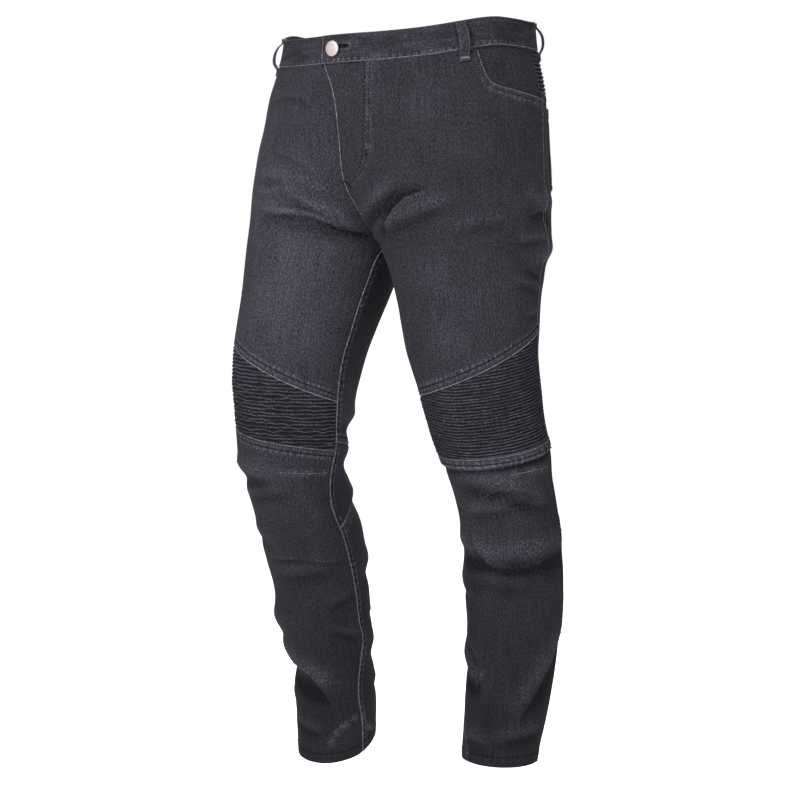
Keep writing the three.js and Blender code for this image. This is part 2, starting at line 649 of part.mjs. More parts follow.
for (const side of Object.keys(SIDES)) {
  const knee = KNEE[side];
  const pocketTop = pocketLine(side);
  const kneeTop = slantSeam(knee.topIn, knee.topOut, knee.topBend);
  const kneeLow = slantSeam(knee.lowIn, knee.lowOut, knee.lowBend);
  const backKneeTop = slantSeam(BACK_KNEE.topIn, BACK_KNEE.topOut, BACK_KNEE.topBend);
  const backKneeLow = slantSeam(BACK_KNEE.lowIn, BACK_KNEE.lowOut, BACK_KNEE.lowBend);
  const yokeTop = bandBottom(side, "back");
  const yokeLow = slantSeam(YOKE.centre, YOKE.side, 0);
  const below = (line) => moved(line, -SLANT_SEAM);

  const front = { side, half: "front", shares: FRONT_SHARES };
  if (side === "left") {
    front.shares = [...flyColumns(), ...FRONT_SHARES.slice(2)];
    front.lift = flyLift;
  }
  add(`front_${side}`, panel({ ...front, top: pocketTop, bottom: kneeTop }), "denim");

  const facing = {
    side,
    half: "front",
    shares: FRONT_SHARES.filter((share) => share >= FACING.start),
    top: bandBottom(side, "front"),
    bottom: moved(pocketTop, -FACING.tuck),
    lift: () => -LAYER - FACING.clear,
  };
  add(`pocket_facing_${side}`, panel(facing), "denim");

  const legFront = { side, half: "front", shares: EVEN_SHARES };
  const kneePanel = { ...legFront, top: below(kneeTop), bottom: kneeLow, ribs: true };
  add(`knee_${side}`, panel(kneePanel), "stretch");
  const shin = { ...legFront, top: below(kneeLow), bottom: hemLine(side, "front") };
  add(`shin_${side}`, panel(shin), "denim");

  const back = { side, half: "back", shares: EVEN_SHARES };
  add(`yoke_${side}`, panel({ ...back, top: yokeTop, bottom: yokeLow, ribs: true }), "stretch");
  add(`back_thigh_${side}`, panel({ ...back, top: below(yokeLow), bottom: backKneeTop }), "denim");
  add(`back_knee_${side}`, panel({ ...back, top: below(backKneeTop), bottom: backKneeLow }), "denim");
  const calf = { ...back, top: below(backKneeLow), bottom: hemLine(side, "back") };
  add(`calf_${side}`, panel(calf), "denim");

  const pocket = {
    ...back,
    shares: EVEN_SHARES.filter((share) => share >= BACK_POCKET.from && share <= BACK_POCKET.to),
    top: moved(yokeLow, -BACK_POCKET.drop),
    bottom: backPocketBottom(yokeLow),
    lift: () => CLOTH + SEAM_ON_CURVE,
  };
  add(`back_pocket_${side}`, panel(pocket), "denim");
}

add("waistband", waistband(), "denim");
for (const [name, loop] of Object.entries(BELT_LOOPS)) add(`belt_loop_${name}`, beltLoop(loop), "denim");
add("button", button(), "metal");

export default trousers;
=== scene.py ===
"""Motorcycle trousers in washed grey-black denim, held open in the shape that they have when worn.

Tables and sizes are in millimetres in the part's own frame: +Z up, the wearer faces -Y and the wearer's
left is +X. A place round a leg runs from the inner seam (0) over the front to the side seam (1) and over
the back to the inner seam again (2).
"""

import math

import bpy
import numpy as np
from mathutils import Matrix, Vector


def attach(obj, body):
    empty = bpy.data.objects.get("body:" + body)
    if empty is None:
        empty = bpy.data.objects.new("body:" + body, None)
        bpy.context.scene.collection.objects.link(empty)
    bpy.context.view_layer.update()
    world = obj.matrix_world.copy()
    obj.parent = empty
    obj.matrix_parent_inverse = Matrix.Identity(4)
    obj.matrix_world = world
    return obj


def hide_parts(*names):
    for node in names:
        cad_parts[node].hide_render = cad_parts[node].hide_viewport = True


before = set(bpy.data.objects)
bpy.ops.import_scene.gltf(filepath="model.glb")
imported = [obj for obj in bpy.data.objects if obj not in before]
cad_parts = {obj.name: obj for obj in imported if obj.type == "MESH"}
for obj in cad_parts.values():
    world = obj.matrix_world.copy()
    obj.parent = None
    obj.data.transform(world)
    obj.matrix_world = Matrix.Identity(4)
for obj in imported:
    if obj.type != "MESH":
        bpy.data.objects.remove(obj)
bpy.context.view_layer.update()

MM = 0.001

# Cloth
WALL = 1.1  # denim
RIBS = {  # of each knee and of the yokes: line that they follow, waver, slackness, and pitch
    "left": ("sag", 0.18, 0.2, 4.1),
    "right": ("level", 0.22, 0.6, 5.0),
    "yoke": ("middle", 0.12, 0.0, 5.4),
}
RIB_HEIGHT = 1.5
RIB_CREST = 0.19  # half the breadth of a crest, as a share of the pitch
TUCK = 5.0  # how far a piece goes on under its neighbour at a seam
SINK = 1.0  # and how far it sinks there
STEP = 3.3  # spacing of the points of a panel
RIB_STEP = 0.6  # and of its rows where it is ribbed

# Waistband, belt loops and button
BAND_HEIGHT = 37
BAND_THICK = 2.8
BAND_PROUD = 1.0
BAND_LAP = 17.5
BAND_UNDERLAP = 10
BAND_LIFT, BAND_LIFT_FULL, BAND_LIFT_GONE = 3.2, 14, 62  # of the end that laps over, and where it fades out
BAND_SEAM = 0.9
FAR = 1e3  # stands for any distance beyond the reach of the waistband's left end
LOOP_ACROSS = [-6.5, -6.1, -5.2, -4.2, -2.5, 0, 2.5, 4.2, 5.2, 6.1, 6.5]
LOOP_THICK = 1.8
LOOP_PROFILE = [  # drop below the waist, and share of the loop's gap that it stands off there
    (1.5, 0), (7, 0.02), (12, 0.55), (18, 0.9), (24, 1), (31, 0.92), (37, 0.6), (43, 0.08), (51, 0),
]
LOOP_FROM_SIDE = 1.26  # place of the loops behind the side seams
BELT_LOOPS = {  # side, place, gap behind the loop, and height of the cloth below the waistband
    "belt_loop_front_left": ("left", 0.57, 8.5, 0.5),
    "belt_loop_front_right": ("right", 0.57, 10, 0.5),
    "belt_loop_back_left": ("left", LOOP_FROM_SIDE, 8.5, 1.9),
    "belt_loop_back_right": ("right", LOOP_FROM_SIDE, 8, 1.9),
    "belt_loop_centre_back": ("left", 2.0, 7, 1.9),
}
BUTTON_FROM_MIDDLE, BUTTON_DROP, BUTTON_CLEAR = 3, 18, 0.7
BUTTONHOLE, BUTTONHOLE_DROP = (5, 24), 15.5  # its ends from the middle, and its drop below the waist

# Lines that the pieces are cut to
CROTCH_Z = -296
WAIST_SIDE, WAIST_DIP, WAIST_DIP_FROM, WAIST_RISE, WAIST_RISE_FROM = -7, 22, (30, 160), 13, (20, 147)
YOKE = (-112, -98, 0)
HEM = {"left": (-991, -0.05), "right": (-1024, 0.3)}
KNEE_TOP = {"left": (-497, -412, -20), "right": (-508, -408, 10)}
KNEE_LOW = {"left": (-572, -552, -12), "right": (-574, -534, 1)}
KNEE_LOW_CURVE = {"left": 0.6, "right": 0.15}
BACK_KNEE_TOP = (-564, -560, -14)
BACK_KNEE_LOW = (-686, -676, 40)
SLANT_SEAM = 0.5
S_SHAPE = 0.6
POCKET_START = 0.635
POCKET_EDGE = [(0, 0), (2, 16), (5, 29), (10, 41), (20, 48), (45, 54), (100, 61)]
FACING_TUCK = 12
FACING_LIFT = -2.3
BACK_POCKET_DROP, BACK_POCKET_HEIGHT, BACK_POCKET_POINT = 16, 106, 16
BACK_POCKET_SHARES, BACK_POCKET_LIFT = (0.3, 0.8), 1.9
FLY_EDGE = [  # height, and how far the left front laps past the middle of the trousers
    (30, 18), (-40, 18), (-62, 16), (-76, 11), (-90, 4.5), (-105, 0), (-122, -3), (-145, -4), (-175, -2.5),
    (-200, -0.5), (-214, 0), (-300, 0),
]
FLY_LIFT, FLY_LIFT_END, FLY_RIDGE = 2.2, (-242, -214), (8, 30)

# Row of stitches that closes the fly: place and height
J_CURVE = [
    (0.18, -42), (0.18, -71), (0.17, -125), (0.155, -176),
    (0.14, -190), (0.105, -206), (0.07, -214), (0.03, -220),
]
# Rows of stitches round the ankle patches and across the tucks below the knees
ANKLE_FRONT = [(0.04, -971), (0.12, -980), (0.19, -990), (0.23, -998), (0.26, -1013)]
ANKLE_BACK = [(1.98, -971), (1.94, -989), (1.8, -1004)]
TUCKS = {"right": [[(0.03, -605), (0.3, -602)], [(0.66, -596), (0.92, -590)]],
         "left": [[(0.03, -604), (0.2, -602)], [(0.66, -596), (0.78, -592), (0.92, -590)]]}
LEFT_ANKLE_UP = 36  # how much higher the left ankle's rows lie
WORN_ROWS = {  # rows with paler cloth beside them, by piece
    "front_left": [J_CURVE],
    "shin_right": [ANKLE_FRONT, *TUCKS["right"]],
    "calf_right": [ANKLE_BACK],
    "shin_left": [[(p, z + LEFT_ANKLE_UP) for p, z in ANKLE_FRONT], *TUCKS["left"]],
    "calf_left": [[(p, z + LEFT_ANKLE_UP) for p, z in ANKLE_BACK]],
}
# How far the right inner seam swings to the front below the crotch: height and distance
INSEAM_SWING = [
    (-1100, 0), (-437, 0), (-410, 2.5), (-380, 6.5), (-338, 12),
    (-318, 17), (-306, 17), (-300, 9), (-296, 0), (40, 0),
]

SIDES = {"left": 1, "right": -1}
OTHER = {"left": "right", "right": "left"}

# Sections of each half: height, middle, depth, out, in, front, back, inseam, outseam
SECTIONS = {
    "left": [
        (30, 6, 0, 170, 6, 153, 147, 0, 104),
        (0, 8, 0, 169, 8, 153, 147, 0, 104),
        (-40, 14, 0, 168, 14, 154, 148, 0, 105),
        (-96, 30, 0, 165, 30, 155, 146, 0, 107),
        (-140, 44, 0, 153, 44, 153, 148, 0, 107),
        (-180, 60, 0, 137, 60, 148, 148, 0, 108),
        (-220, 77, 0, 121, 77, 142, 144, -20, 109),
        (-262, 94, 2, 105, 94, 132, 134, -34, 110),
        (-296, 104, 4, 98, 104, 124, 122, -42, 111),
        (-330, 108, -2, 92, 94, 112, 112, -34, 112),
        (-366, 110, -4, 88, 88, 102, 102, -28, 113),
        (-407, 113, -5, 85, 84, 96, 96, -24, 115),
        (-447, 116, -5, 82, 81, 89, 90, -20, 116),
        (-488, 120, 3, 79, 78, 85, 85, -14, 117),
        (-529, 124.5, 10, 77, 77, 80, 80, -8, 117),
        (-569, 129.5, 21, 76, 75, 78, 76, -9, 116),
        (-610, 134.5, 32, 68, 67, 71, 71, -13, 114),
        (-651, 139.5, 42, 65, 64, 68, 69, -16, 112),
        (-692, 143, 45, 66, 64, 67, 70, -12, 112),
        (-733, 145, 45, 67, 65, 67, 72, -8, 112),
        (-774, 146.5, 46, 66, 64, 67, 71, -6, 112),
        (-815, 147.5, 44, 64, 61, 64, 68, -6, 112),
        (-855, 148.5, 37, 61, 59, 62, 65, -8, 112),
        (-896, 149, 32, 57, 55, 59, 62, -12, 112),
        (-936, 149, 25, 54, 52, 55, 58, -14, 112),
        (-976, 148.5, 16, 50, 49, 52, 54, -14, 112),
        (-1025, 148, 10, 46, 46, 48, 50, -14, 112),
    ],
    "right": [
        (30, 6, 0, 170, 6, 153, 147, 0, 104),
        (0, 8, 0, 167, 8, 153, 147, 0, 104),
        (-40, 14, 0, 164, 14, 154, 148, 0, 105),
        (-96, 30, -2, 169, 30, 157, 146, 0, 106),
        (-138, 45, -8, 158, 45, 155, 146, 0, 106),
        (-179, 62, -17, 145, 62, 150, 146, 0, 105),
        (-221, 78, -27, 131, 78, 141, 146, -10, 104),
        (-262, 92, -36, 118, 92, 130, 144, -10, 104),
        (-296, 102, -43, 110, 102, 123, 132, 5, 104),
        (-330, 107, -53, 104, 99, 117, 123, -4, 104),
        (-365, 111, -62, 98, 97, 113, 115, -14, 104),
        (-407, 115, -76, 92, 92, 107, 108, -16, 104),
        (-448, 118.5, -88, 87, 88, 99, 101, -17, 104),
        (-490, 122, -93, 84, 84, 93, 92, -13, 104),
        (-531, 125.5, -95, 79, 79, 84, 83, -5, 104),
        (-572, 129, -96, 75, 74, 78, 75, 4, 104),
        (-614, 132.5, -83, 73, 72, 78, 76, -14, 104),
        (-656, 136, -61, 73, 70, 80, 76, -26, 104),
        (-698, 139, -41, 74, 70, 82, 76, -20, 104),
        (-741, 141.5, -26, 73, 68, 80, 73, -14, 104),
        (-785, 143.5, -13, 70, 64, 76, 69, -8, 104),
        (-829, 145, -7, 69, 63, 75, 67, -4, 104),
        (-860, 145.5, 3, 67, 59, 74, 63, 0, 104),
        (-896, 147, 15, 61, 57, 67, 60, -14, 104),
        (-939, 148, 20, 60, 59, 66, 62, -24, 104),
        (-982, 148.5, 22, 60, 59, 63, 61, -18, 104),
        (-1035, 149, 24, 59, 56, 61, 58, -14, 104),
    ],
}
# The centre seam above the crotch: height, depth, and how far the cloth has turned in degrees
CENTRE_SEAM = {
    "front": [
        (30, -154, 0),
        (0, -154, 0),
        (-60, -155.5, 0),
        (-100, -156, 0),
        (-140, -153, 2),
        (-165, -148, 5),
        (-205, -138, 14),
        (-232, -124, 30),
        (-257, -101, 50),
        (-280, -72, 72),
        (-291, -53, 84),
        (-296, -38, 90),
    ],
    "back": [
        (30, 147, 0),
        (0, 147, 0),
        (-40, 148, 0),
        (-90, 145, 2),
        (-140, 140, 8),
        (-190, 125, 20),
        (-235, 95, 40),
        (-270, 48, 66),
        (-288, 6, 80),
        (-294, -20, 87),
        (-296, -38, 90),
    ],
}
# Folds: side, place and height of each end, width, height of the ridge, share of it for the trough below
FOLDS = [
    ("right", 0.46, -246, 0.08, -272, 13, 3.2, 1),
    ("right", 0.3, -205, 0.12, -256, 12, 2.4, 1),
    ("right", 1.08, -225, 0.78, -232, 15, 3.5, 0.8),
    ("right", 1.75, -300, 1.2, -292, 16, 4, 1),
    ("right", 1.7, -336, 1.25, -345, 15, 3, 1),
    ("right", 1.95, -532, 1.3, -548, 13, 3.6, 1),
    ("right", 1.85, -584, 1.15, -600, 14, 5.5, 1),
    ("right", 0.85, -600, 0.3, -612, 12, 4, 1.2),
    ("right", 1.8, -650, 1.35, -640, 13, 3.5, 1),
    ("right", 1.9, -756, 1.3, -742, 15, 3.5, 1),
    ("right", 1.12, -812, 0.5, -846, 15, 4, 0.8),
    ("right", 0.9, -868, 0.2, -930, 14, 5.5, 1.1),
    ("right", 1.8, -872, 1.3, -890, 14, 3.5, 1),
    ("right", 1.15, -938, 0.62, -958, 12, 3, 1),
    ("left", 1.16, -250, 0.84, -240, 14, 4, 0.9),
    ("left", 1.14, -308, 0.88, -318, 13, 3, 0.8),
    ("left", 1.75, -300, 1.25, -294, 16, 4, 1),
    ("left", 1.7, -340, 1.3, -350, 15, 3, 1),
    ("left", 1.9, -540, 1.3, -552, 13, 4, 1.1),
    ("left", 1.85, -590, 1.3, -602, 14, 4, 1),
    ("left", 0.8, -618, 0.28, -604, 13, 3, 1),
    ("left", 0.5, -712, 0.1, -694, 14, 3.6, 1.2),
    ("left", 1.1, -694, 0.42, -712, 15, 3.6, 0.9),
    ("left", 1.85, -722, 1.35, -708, 15, 3, 1),
    ("left", 0.42, -888, 0.08, -838, 13, 3, 1),
    ("left", 1.05, -806, 0.66, -916, 13, 3.4, 0.8),
    ("left", 1.8, -846, 1.3, -862, 14, 3.2, 1),
    ("left", 1.7, -922, 1.25, -936, 13, 2.6, 1),
]
# Fine creases, in the same columns
CREASES = [
    ("right", 0.42, -249, 0.20, -258, 7, 1.4, 1.2),
    ("right", 0.25, -257, 0.01, -281, 7, 1.6, 1.3),
    ("right", 0.44, -228, 0.20, -236, 7, 1.5, 1.1),
    ("right", 0.23, -234, 0.06, -266, 7, 2.0, 1.1),
    ("right", 0.46, -206, 0.20, -208, 7, 1.1, 1),
    ("right", 0.22, -208, 0.08, -232, 7, 1.4, 1),
    ("right", 0.98, -86, 0.70, -104, 9, 2.3, 1.2),
    ("right", 0.98, -120, 0.6, -112, 9, 1.7, 1),
    ("right", 0.95, -150, 0.6, -166, 9, 1.2, 0.9),
    ("left", 0.28, -216, 0.02, -282, 9, 1.8, 1.3),
    ("left", 0.52, -236, 0.16, -280, 9, 1.5, 0.9),
    ("left", 0.74, -262, 0.5, -276, 8, 1.0, 0.8),
    ("left", 0.98, -286, 0.78, -292, 6, 1.6, 0.9),
    ("left", 0.99, -352, 0.8, -344, 6, 1.4, 0.9),
    ("left", 1.0, -380, 0.86, -388, 5, 1.2, 0.8),
    ("left", 0.3, -770, 0.04, -736, 7, 1.4, 0.9),
    ("left", 0.62, -640, 0.3, -652, 8, 1.4, 0.9),
    ("left", 0.9, -640, 0.6, -628, 8, 1.5, 0.9),
    ("left", 0.7, -744, 0.3, -738, 9, 1.0, 0.8),
    ("left", 0.9, -940, 0.5, -952, 9, 1.2, 0.8),
    ("left", 0.5, -960, 0.15, -950, 8, 1.0, 0.8),
    ("right", 0.62, -640, 0.25, -628, 8, 1.6, 0.9),
    ("right", 0.85, -690, 0.45, -706, 9, 1.2, 0.8),
    ("right", 0.5, -756, 0.1, -742, 9, 1.1, 0.8),
    ("right", 0.2, -800, 0.02, -786, 6, 1.0, 0.8),
    ("right", 0.2, -836, 0.02, -852, 6, 1.2, 0.9),
    ("right", 0.6, -982, 0.3, -994, 8, 1.2, 0.8),
    ("right", 0.95, -900, 0.7, -892, 7, 1.4, 0.9),
    ("right", 0.9, -965, 0.66, -975, 8, 1.3, 0.9),
    ("left", 1.7, -562, 1.4, -570, 7, 1.8, 1),
    ("left", 1.65, -622, 1.3, -614, 7, 1.6, 1),
    ("left", 1.6, -640, 1.25, -646, 7, 1.2, 1),
    ("right", 1.7, -560, 1.4, -568, 7, 1.8, 1),
    ("right", 1.65, -622, 1.3, -618, 7, 1.8, 1),
    ("right", 1.6, -668, 1.25, -674, 7, 1.4, 1),
    ("left", 1.6, -318, 1.25, -322, 8, 1.6, 0.9),
    ("right", 1.6, -318, 1.25, -318, 8, 1.6, 0.9),
    ("left", 1.9, -262, 1.6, -274, 9, 1.6, 0.8),
    ("right", 1.9, -262, 1.6, -274, 9, 1.6, 0.8),
    ("left", 1.5, -760, 1.2, -770, 9, 1.3, 0.8),
    ("right", 1.6, -800, 1.25, -812, 9, 1.3, 0.8),
    ("left", 1.8, -890, 1.4, -900, 8, 1.4, 0.8),
    ("right", 1.7, -930, 1.3, -944, 8, 1.4, 0.8),
]
# Sharp folds, where the cloth on the left of the line, seen along it, laps over the rest: side, height of
# the lip, and the line's places and heights
SHARP_FOLDS = [
    ("left", 1.1, [
        (0.28, -656), (0.35, -692), (0.44, -719), (0.56, -725), (0.71, -722), (0.85, -712), (1.0, -708),
    ]),
    ("left", 2.6, [
        (-0.1, -586), (0.04, -589), (0.25, -594), (0.5, -589), (0.8, -577), (1.0, -568), (1.15, -564),
    ]),
    ("left", 0.9, [(0.66, -929), (0.81, -890), (0.91, -851), (1.0, -800)]),
    ("left", 1.1, [(0.14, -818), (0.24, -829), (0.34, -845), (0.40, -860)]),
    ("left", 0.9, [(0.20, -892), (0.30, -878), (0.39, -866)]),
    ("left", 0.9, [(0.32, -893), (0.45, -860)]),
    ("left", 2.0, [(0.42, -226), (0.31, -236), (0.26, -248), (0.23, -266), (0.23, -292)]),
    ("left", 1.0, [(0.45, -632), (0.57, -617), (0.69, -620), (0.90, -634)]),
    ("left", 1.3, [(0.86, -262), (0.94, -252), (1.04, -254)]),
    ("left", 1.4, [(0.84, -322), (0.93, -336), (1.03, -334)]),
    ("right", 1.7, [(0.20, -956), (0.30, -929), (0.39, -908), (0.53, -899), (0.64, -890)]),
    ("right", 1.9, [(0.02, -281), (0.09, -279), (0.14, -272), (0.19, -259), (0.26, -256), (0.42, -257)]),
    ("right", 1.3, [(0.10, -266), (0.16, -252), (0.22, -245), (0.30, -242), (0.44, -242)]),
    ("right", 1.0, [(0.10, -246), (0.14, -235), (0.19, -227), (0.29, -225), (0.44, -231)]),
    ("right", 0.8, [(0.09, -214), (0.16, -190), (0.32, -170)]),
    ("right", 1.0, [(0.02, -735), (0.14, -736), (0.30, -731), (0.56, -735)]),
    ("right", 0.9, [(0.09, -122), (0.16, -107), (0.28, -101), (0.44, -106)]),
    ("left", 1.8, [(1.22, -608), (1.42, -622), (1.7, -606)]),
    ("right", 1.8, [(1.22, -604), (1.45, -618), (1.72, -602)]),
    ("left", 1.5, [(1.2, -760), (1.5, -774), (1.78, -756)]),
    ("right", 1.5, [(1.25, -820), (1.55, -834), (1.82, -820)]),
    ("left", 1.5, [(1.35, -322), (1.55, -332), (1.78, -314)]),
    ("right", 1.5, [(1.35, -322), (1.55, -332), (1.78, -314)]),
]
FOLD_REACH, SHARP_REACH = 110, 90  # how far above and below its middle a fold reaches
FOLD_ENDS = (-0.12, 0.3)  # shares of a fold's length over which its ends fade in
FOLD_WEAR_AND_SHADE = 0.075  # paler per millimetre that a fold stands out, as worn dye, and darker where it sinks in, as painted shade
CREASE_DEPTH = 1.7  # the fine creases are this many times as deep as their table says
CENTRE_CALM = 0.12  # share of the half beside the centre seams where folds fade out
HALF_GIRTH = (-1000, 150, -250, 265)  # mean length of a half at the hem and at the hip
MEAN_GIRTH = 230  # the same, for patterns that needn't follow the height
GRID_GIRTH = 250  # and for spacing the columns of a piece

ARC_STEPS = 40
HANDLE = 0.5523
GRID_TOP, GRID_LOW = 26, -1056
GRID_COLUMNS = 160  # columns of the stored surface on each half


def smoothstep(value, low, high):
    t = np.clip((value - low) / (high - low), 0, 1)
    return t * t * (3 - 2 * t)


def bump(value, middle, width):
    return np.exp(-(((value - middle) / width) ** 2))


def smooth_table(rows):
    """Reads a table between its rows with a smooth curve. The first column is the one it is read by."""
    table = np.array(sorted(rows), float)
    keys, values = table[:, 0], table[:, 1:]
    last = len(keys) - 1
    index = np.arange(last + 1)
    before, after = np.maximum(index - 1, 0), np.minimum(index + 1, last)
    slopes = (values[after] - values[before]) / (keys[after] - keys[before])[:, None]

    def read(at):
        at = np.asarray(at, float)
        i = np.clip(np.searchsorted(keys, at) - 1, 0, last - 1)
        step = keys[i + 1] - keys[i]
        t = np.clip((at - keys[i]) / step, 0, 1)[..., None]
        step = step[..., None]
        blend = t * t * (3 - 2 * t)
        leave = slopes[i] * step * t * (1 - t) ** 2
        arrive = slopes[i + 1] * step * t * t * (1 - t)
        result = values[i] * (1 - blend) + values[i + 1] * blend + leave - arrive
        return np.moveaxis(result, -1, 0)

    return read


def half_sections(side, half, heights):
    """The sections of one half: points and outward directions from the inner seam to the side seam."""
    sign = SIDES[side]
    middle, depth, out, inner, front, back, inseam, outseam = smooth_table(SECTIONS[side])(heights)
    seam_depth, seam_turn = smooth_table(CENTRE_SEAM[half])(heights)
    above = heights > CROTCH_Z
    away, reach = (-1, front) if half == "front" else (1, back)
    start = [np.where(above, 0, sign * (middle - inner)), np.where(above, seam_depth, depth + inseam)]
    turn = np.where(above, np.radians(seam_turn), math.pi / 2)
    end = [sign * middle, depth + away * reach]
    dx, dy = np.abs(end[0] - start[0]), np.abs(end[1] - start[1])
    handle = HANDLE * (dx * np.cos(turn) + dy * np.sin(turn))
    controls = np.array([
        start,
        [start[0] + sign * handle * np.cos(turn), start[1] + away * handle * np.sin(turn)],
        [end[0] - sign * HANDLE * dx, end[1]],
        end,
    ])
    t = np.linspace(0, 1, ARC_STEPS + 1)[:, None, None]
    p0, p1, p2, p3 = controls
    points = p0 * (1 - t) ** 3 + 3 * p1 * t * (1 - t) ** 2 + 3 * p2 * t * t * (1 - t) + p3 * t ** 3
    tangents = (p1 - p0) * (1 - t) ** 2 + 2 * (p2 - p1) * t * (1 - t) + (p3 - p2) * t * t
    first = 0 if half == "front" else math.pi
    onward = 1 if half == "front" else -1
    steps = np.linspace(0, 1, 2 * ARC_STEPS + 1)[1:, None]
    angle = first + (np.radians(outseam) - first) * steps
    sine, cosine = np.sin(angle), np.cos(angle)
    radius = np.where(cosine > 0, front, back)
    round_points = np.stack([sign * (middle + out * sine), depth - radius * cosine], 1)
    round_tangents = np.stack([sign * out * cosine, radius * sine], 1) * onward
    points = np.concatenate([points, round_points])
    tangents = np.concatenate([tangents, round_tangents])
    tangents /= np.linalg.norm(tangents, axis=1, keepdims=True)
    turn = sign * onward
    outward = np.stack([turn * tangents[:, 1], -turn * tangents[:, 0]], 1)
    return points, outward


def even_half(side, half, heights):
    """The same, read at even shares of each section's length, with the lengths."""
    points, outward = half_sections(side, half, heights)
    pieces = np.linalg.norm(np.diff(points, axis=0), axis=1)
    lengths = np.concatenate([np.zeros((1, len(heights))), np.cumsum(pieces, axis=0)])
    shares = np.linspace(0, 1, GRID_COLUMNS + 1)
    result = np.empty((len(heights), GRID_COLUMNS + 1, 4))
    for row in range(len(heights)):
        at = shares * lengths[-1, row]
        for k in range(2):
            result[row, :, k] = np.interp(at, lengths[:, row], points[:, k, row])
            result[row, :, 2 + k] = np.interp(at, lengths[:, row], outward[:, k, row])
    return result, lengths[-1]


HEIGHTS = np.arange(GRID_LOW, GRID_TOP + 1, 1.0)
SURFACE, LENGTH = {}, {}
for side in SIDES:
    front_grid, LENGTH[side, "front"] = even_half(side, "front", HEIGHTS)
    back_grid, LENGTH[side, "back"] = even_half(side, "back", HEIGHTS)
    SURFACE[side] = np.concatenate([front_grid, back_grid[:, -2::-1]], axis=1)


def half_length(side, half, z):
    return np.interp(z, HEIGHTS, LENGTH[side, half])


def waist_length(side, half="front"):
    return float(half_length(side, half, 0))


def length_at(side, place, z):
    return np.where(place <= 1, half_length(side, "front", z), half_length(side, "back", z))


def read_surface(side, place, z):
    grid = SURFACE[side]
    column = np.clip(place, 0, 2) * GRID_COLUMNS
    row = np.clip(z - GRID_LOW, 0, len(HEIGHTS) - 1.001)
    c = np.minimum(column.astype(int), 2 * GRID_COLUMNS - 1)
    r = row.astype(int)
    fc, fr = (column - c)[..., None], (row - r)[..., None]
    low = grid[r, c] * (1 - fc) + grid[r, c + 1] * fc
    high = grid[r + 1, c] * (1 - fc) + grid[r + 1, c + 1] * fc
    return low * (1 - fr) + high * fr


def calm_share(place, z, reach):
    """1 on the legs. Above the crotch 0 at the centre seams, rising to 1 within a share of the half."""
    share = np.where(place <= 1, place, 2 - place)
    return np.where(z > CROTCH_Z, smoothstep(share, 0, reach), 1)


def fold_height(side, place, z, table, calm_to=CENTRE_CALM):
    """How far the folds of a table move the cloth out at places and heights."""
    low, at_low, high, at_high = HALF_GIRTH
    total = np.zeros(np.shape(z))
    for fold_side, place0, z0, place1, z1, width, height, under in table:
        if fold_side != side:
            continue
        near = np.abs(z - (z0 + z1) / 2) < FOLD_REACH
        if not near.any():
            continue
        girth = at_low + (at_high - at_low) * smoothstep(z0, low, high)
        ahead = place - place0
        ahead = np.where(ahead > 1, ahead - 2, np.where(ahead < -1, ahead + 2, ahead))
        line = np.array([(place1 - place0) * girth, z1 - z0])
        length = np.hypot(*line)
        t = (ahead * girth * line[0] + (z - z0) * line[1]) / length ** 2
        rise = (ahead * girth * line[1] - (z - z0) * line[0]) / length / width * np.sign(-line[0])
        ends = smoothstep(t, *FOLD_ENDS) * smoothstep(1 - t, *FOLD_ENDS)
        ridge = bump(rise, 0.5, 1)
        trough = under * bump(rise, -1, 1)
        total += np.where(near, height * ends * (ridge - trough), 0)
    return total * calm_share(place, z, calm_to)


NOISE = np.random.default_rng(7).random((64, 64))


def soft_noise(x, y):
    """Smooth noise from -1 to 1 with bumps one unit wide."""
    x, y = np.asarray(x, float), np.asarray(y, float)
    i, j = np.floor(x).astype(int), np.floor(y).astype(int)
    fx, fy = x - i, y - j
    fx, fy = fx * fx * (3 - 2 * fx), fy * fy * (3 - 2 * fy)

    def value(a, b):
        return NOISE[a % 64, b % 64]

    low = value(i, j) * (1 - fx) + value(i + 1, j) * fx
    high = value(i, j + 1) * (1 - fx) + value(i + 1, j + 1) * fx
    return 2 * (low * (1 - fy) + high * fy) - 1


def beside_line(side, place, z, line):
    """Distance over the cloth from a line, positive on its left, and the share of it that lies behind."""
    line = np.array(line, float)
    girth = length_at(side, place, z)
    nearest, signed, along = np.full(z.shape, 1e9), np.zeros(z.shape), np.zeros(z.shape)
    steps = np.hypot(np.diff(line[:, 0]) * MEAN_GIRTH, np.diff(line[:, 1]))
    start = 0.0
    for k, step in enumerate(steps):
        ax, az = (place - line[k, 0]) * girth, z - line[k, 1]
        dx, dz = (line[k + 1, 0] - line[k, 0]) * girth, line[k + 1, 1] - line[k, 1]
        t = np.clip((ax * dx + az * dz) / (dx * dx + dz * dz), 0, 1)
        distance = np.hypot(ax - t * dx, az - t * dz)
        nearer = distance < nearest
        signed = np.where(nearer, distance * np.sign(dx * az - dz * ax), signed)
        along = np.where(nearer, (start + t * step) / steps.sum(), along)
        nearest = np.where(nearer, distance, nearest)
        start += step
    return signed, along


def sharp_folds(side, place, z):
    """How far the sharp folds move the cloth out, how much their lips are worn, and the painted shade in the
    hollow below each lip.
    """
    lift, wear_and_shade = np.zeros(z.shape), np.zeros(z.shape)
    for fold_side, height, line in SHARP_FOLDS:
        middle = sum(point[1] for point in line) / len(line)
        near = np.abs(z - middle) < SHARP_REACH
        if fold_side != side or not near.any():
            continue
        s, t = beside_line(side, place, z, line)
        ends = height * smoothstep(t, 0, 0.2) * smoothstep(1 - t, 0, 0.2) * near
        over = smoothstep(s, -1.4, 1.8)
        lip = 0.6 * over * bump(np.maximum(s, 0), 0, 11)
        hollow = 0.9 * (1 - over) * bump(np.minimum(s, 0), 0, 9)
        lift += ends * (lip - hollow)
        # Paler worn dye on the lip, and painted shade in the hollow below it
        wear_and_shade += ends * (0.11 * bump(s, 1.8, 1.7) - 0.09 * bump(s, -3, 3.5))
    return lift, wear_and_shade


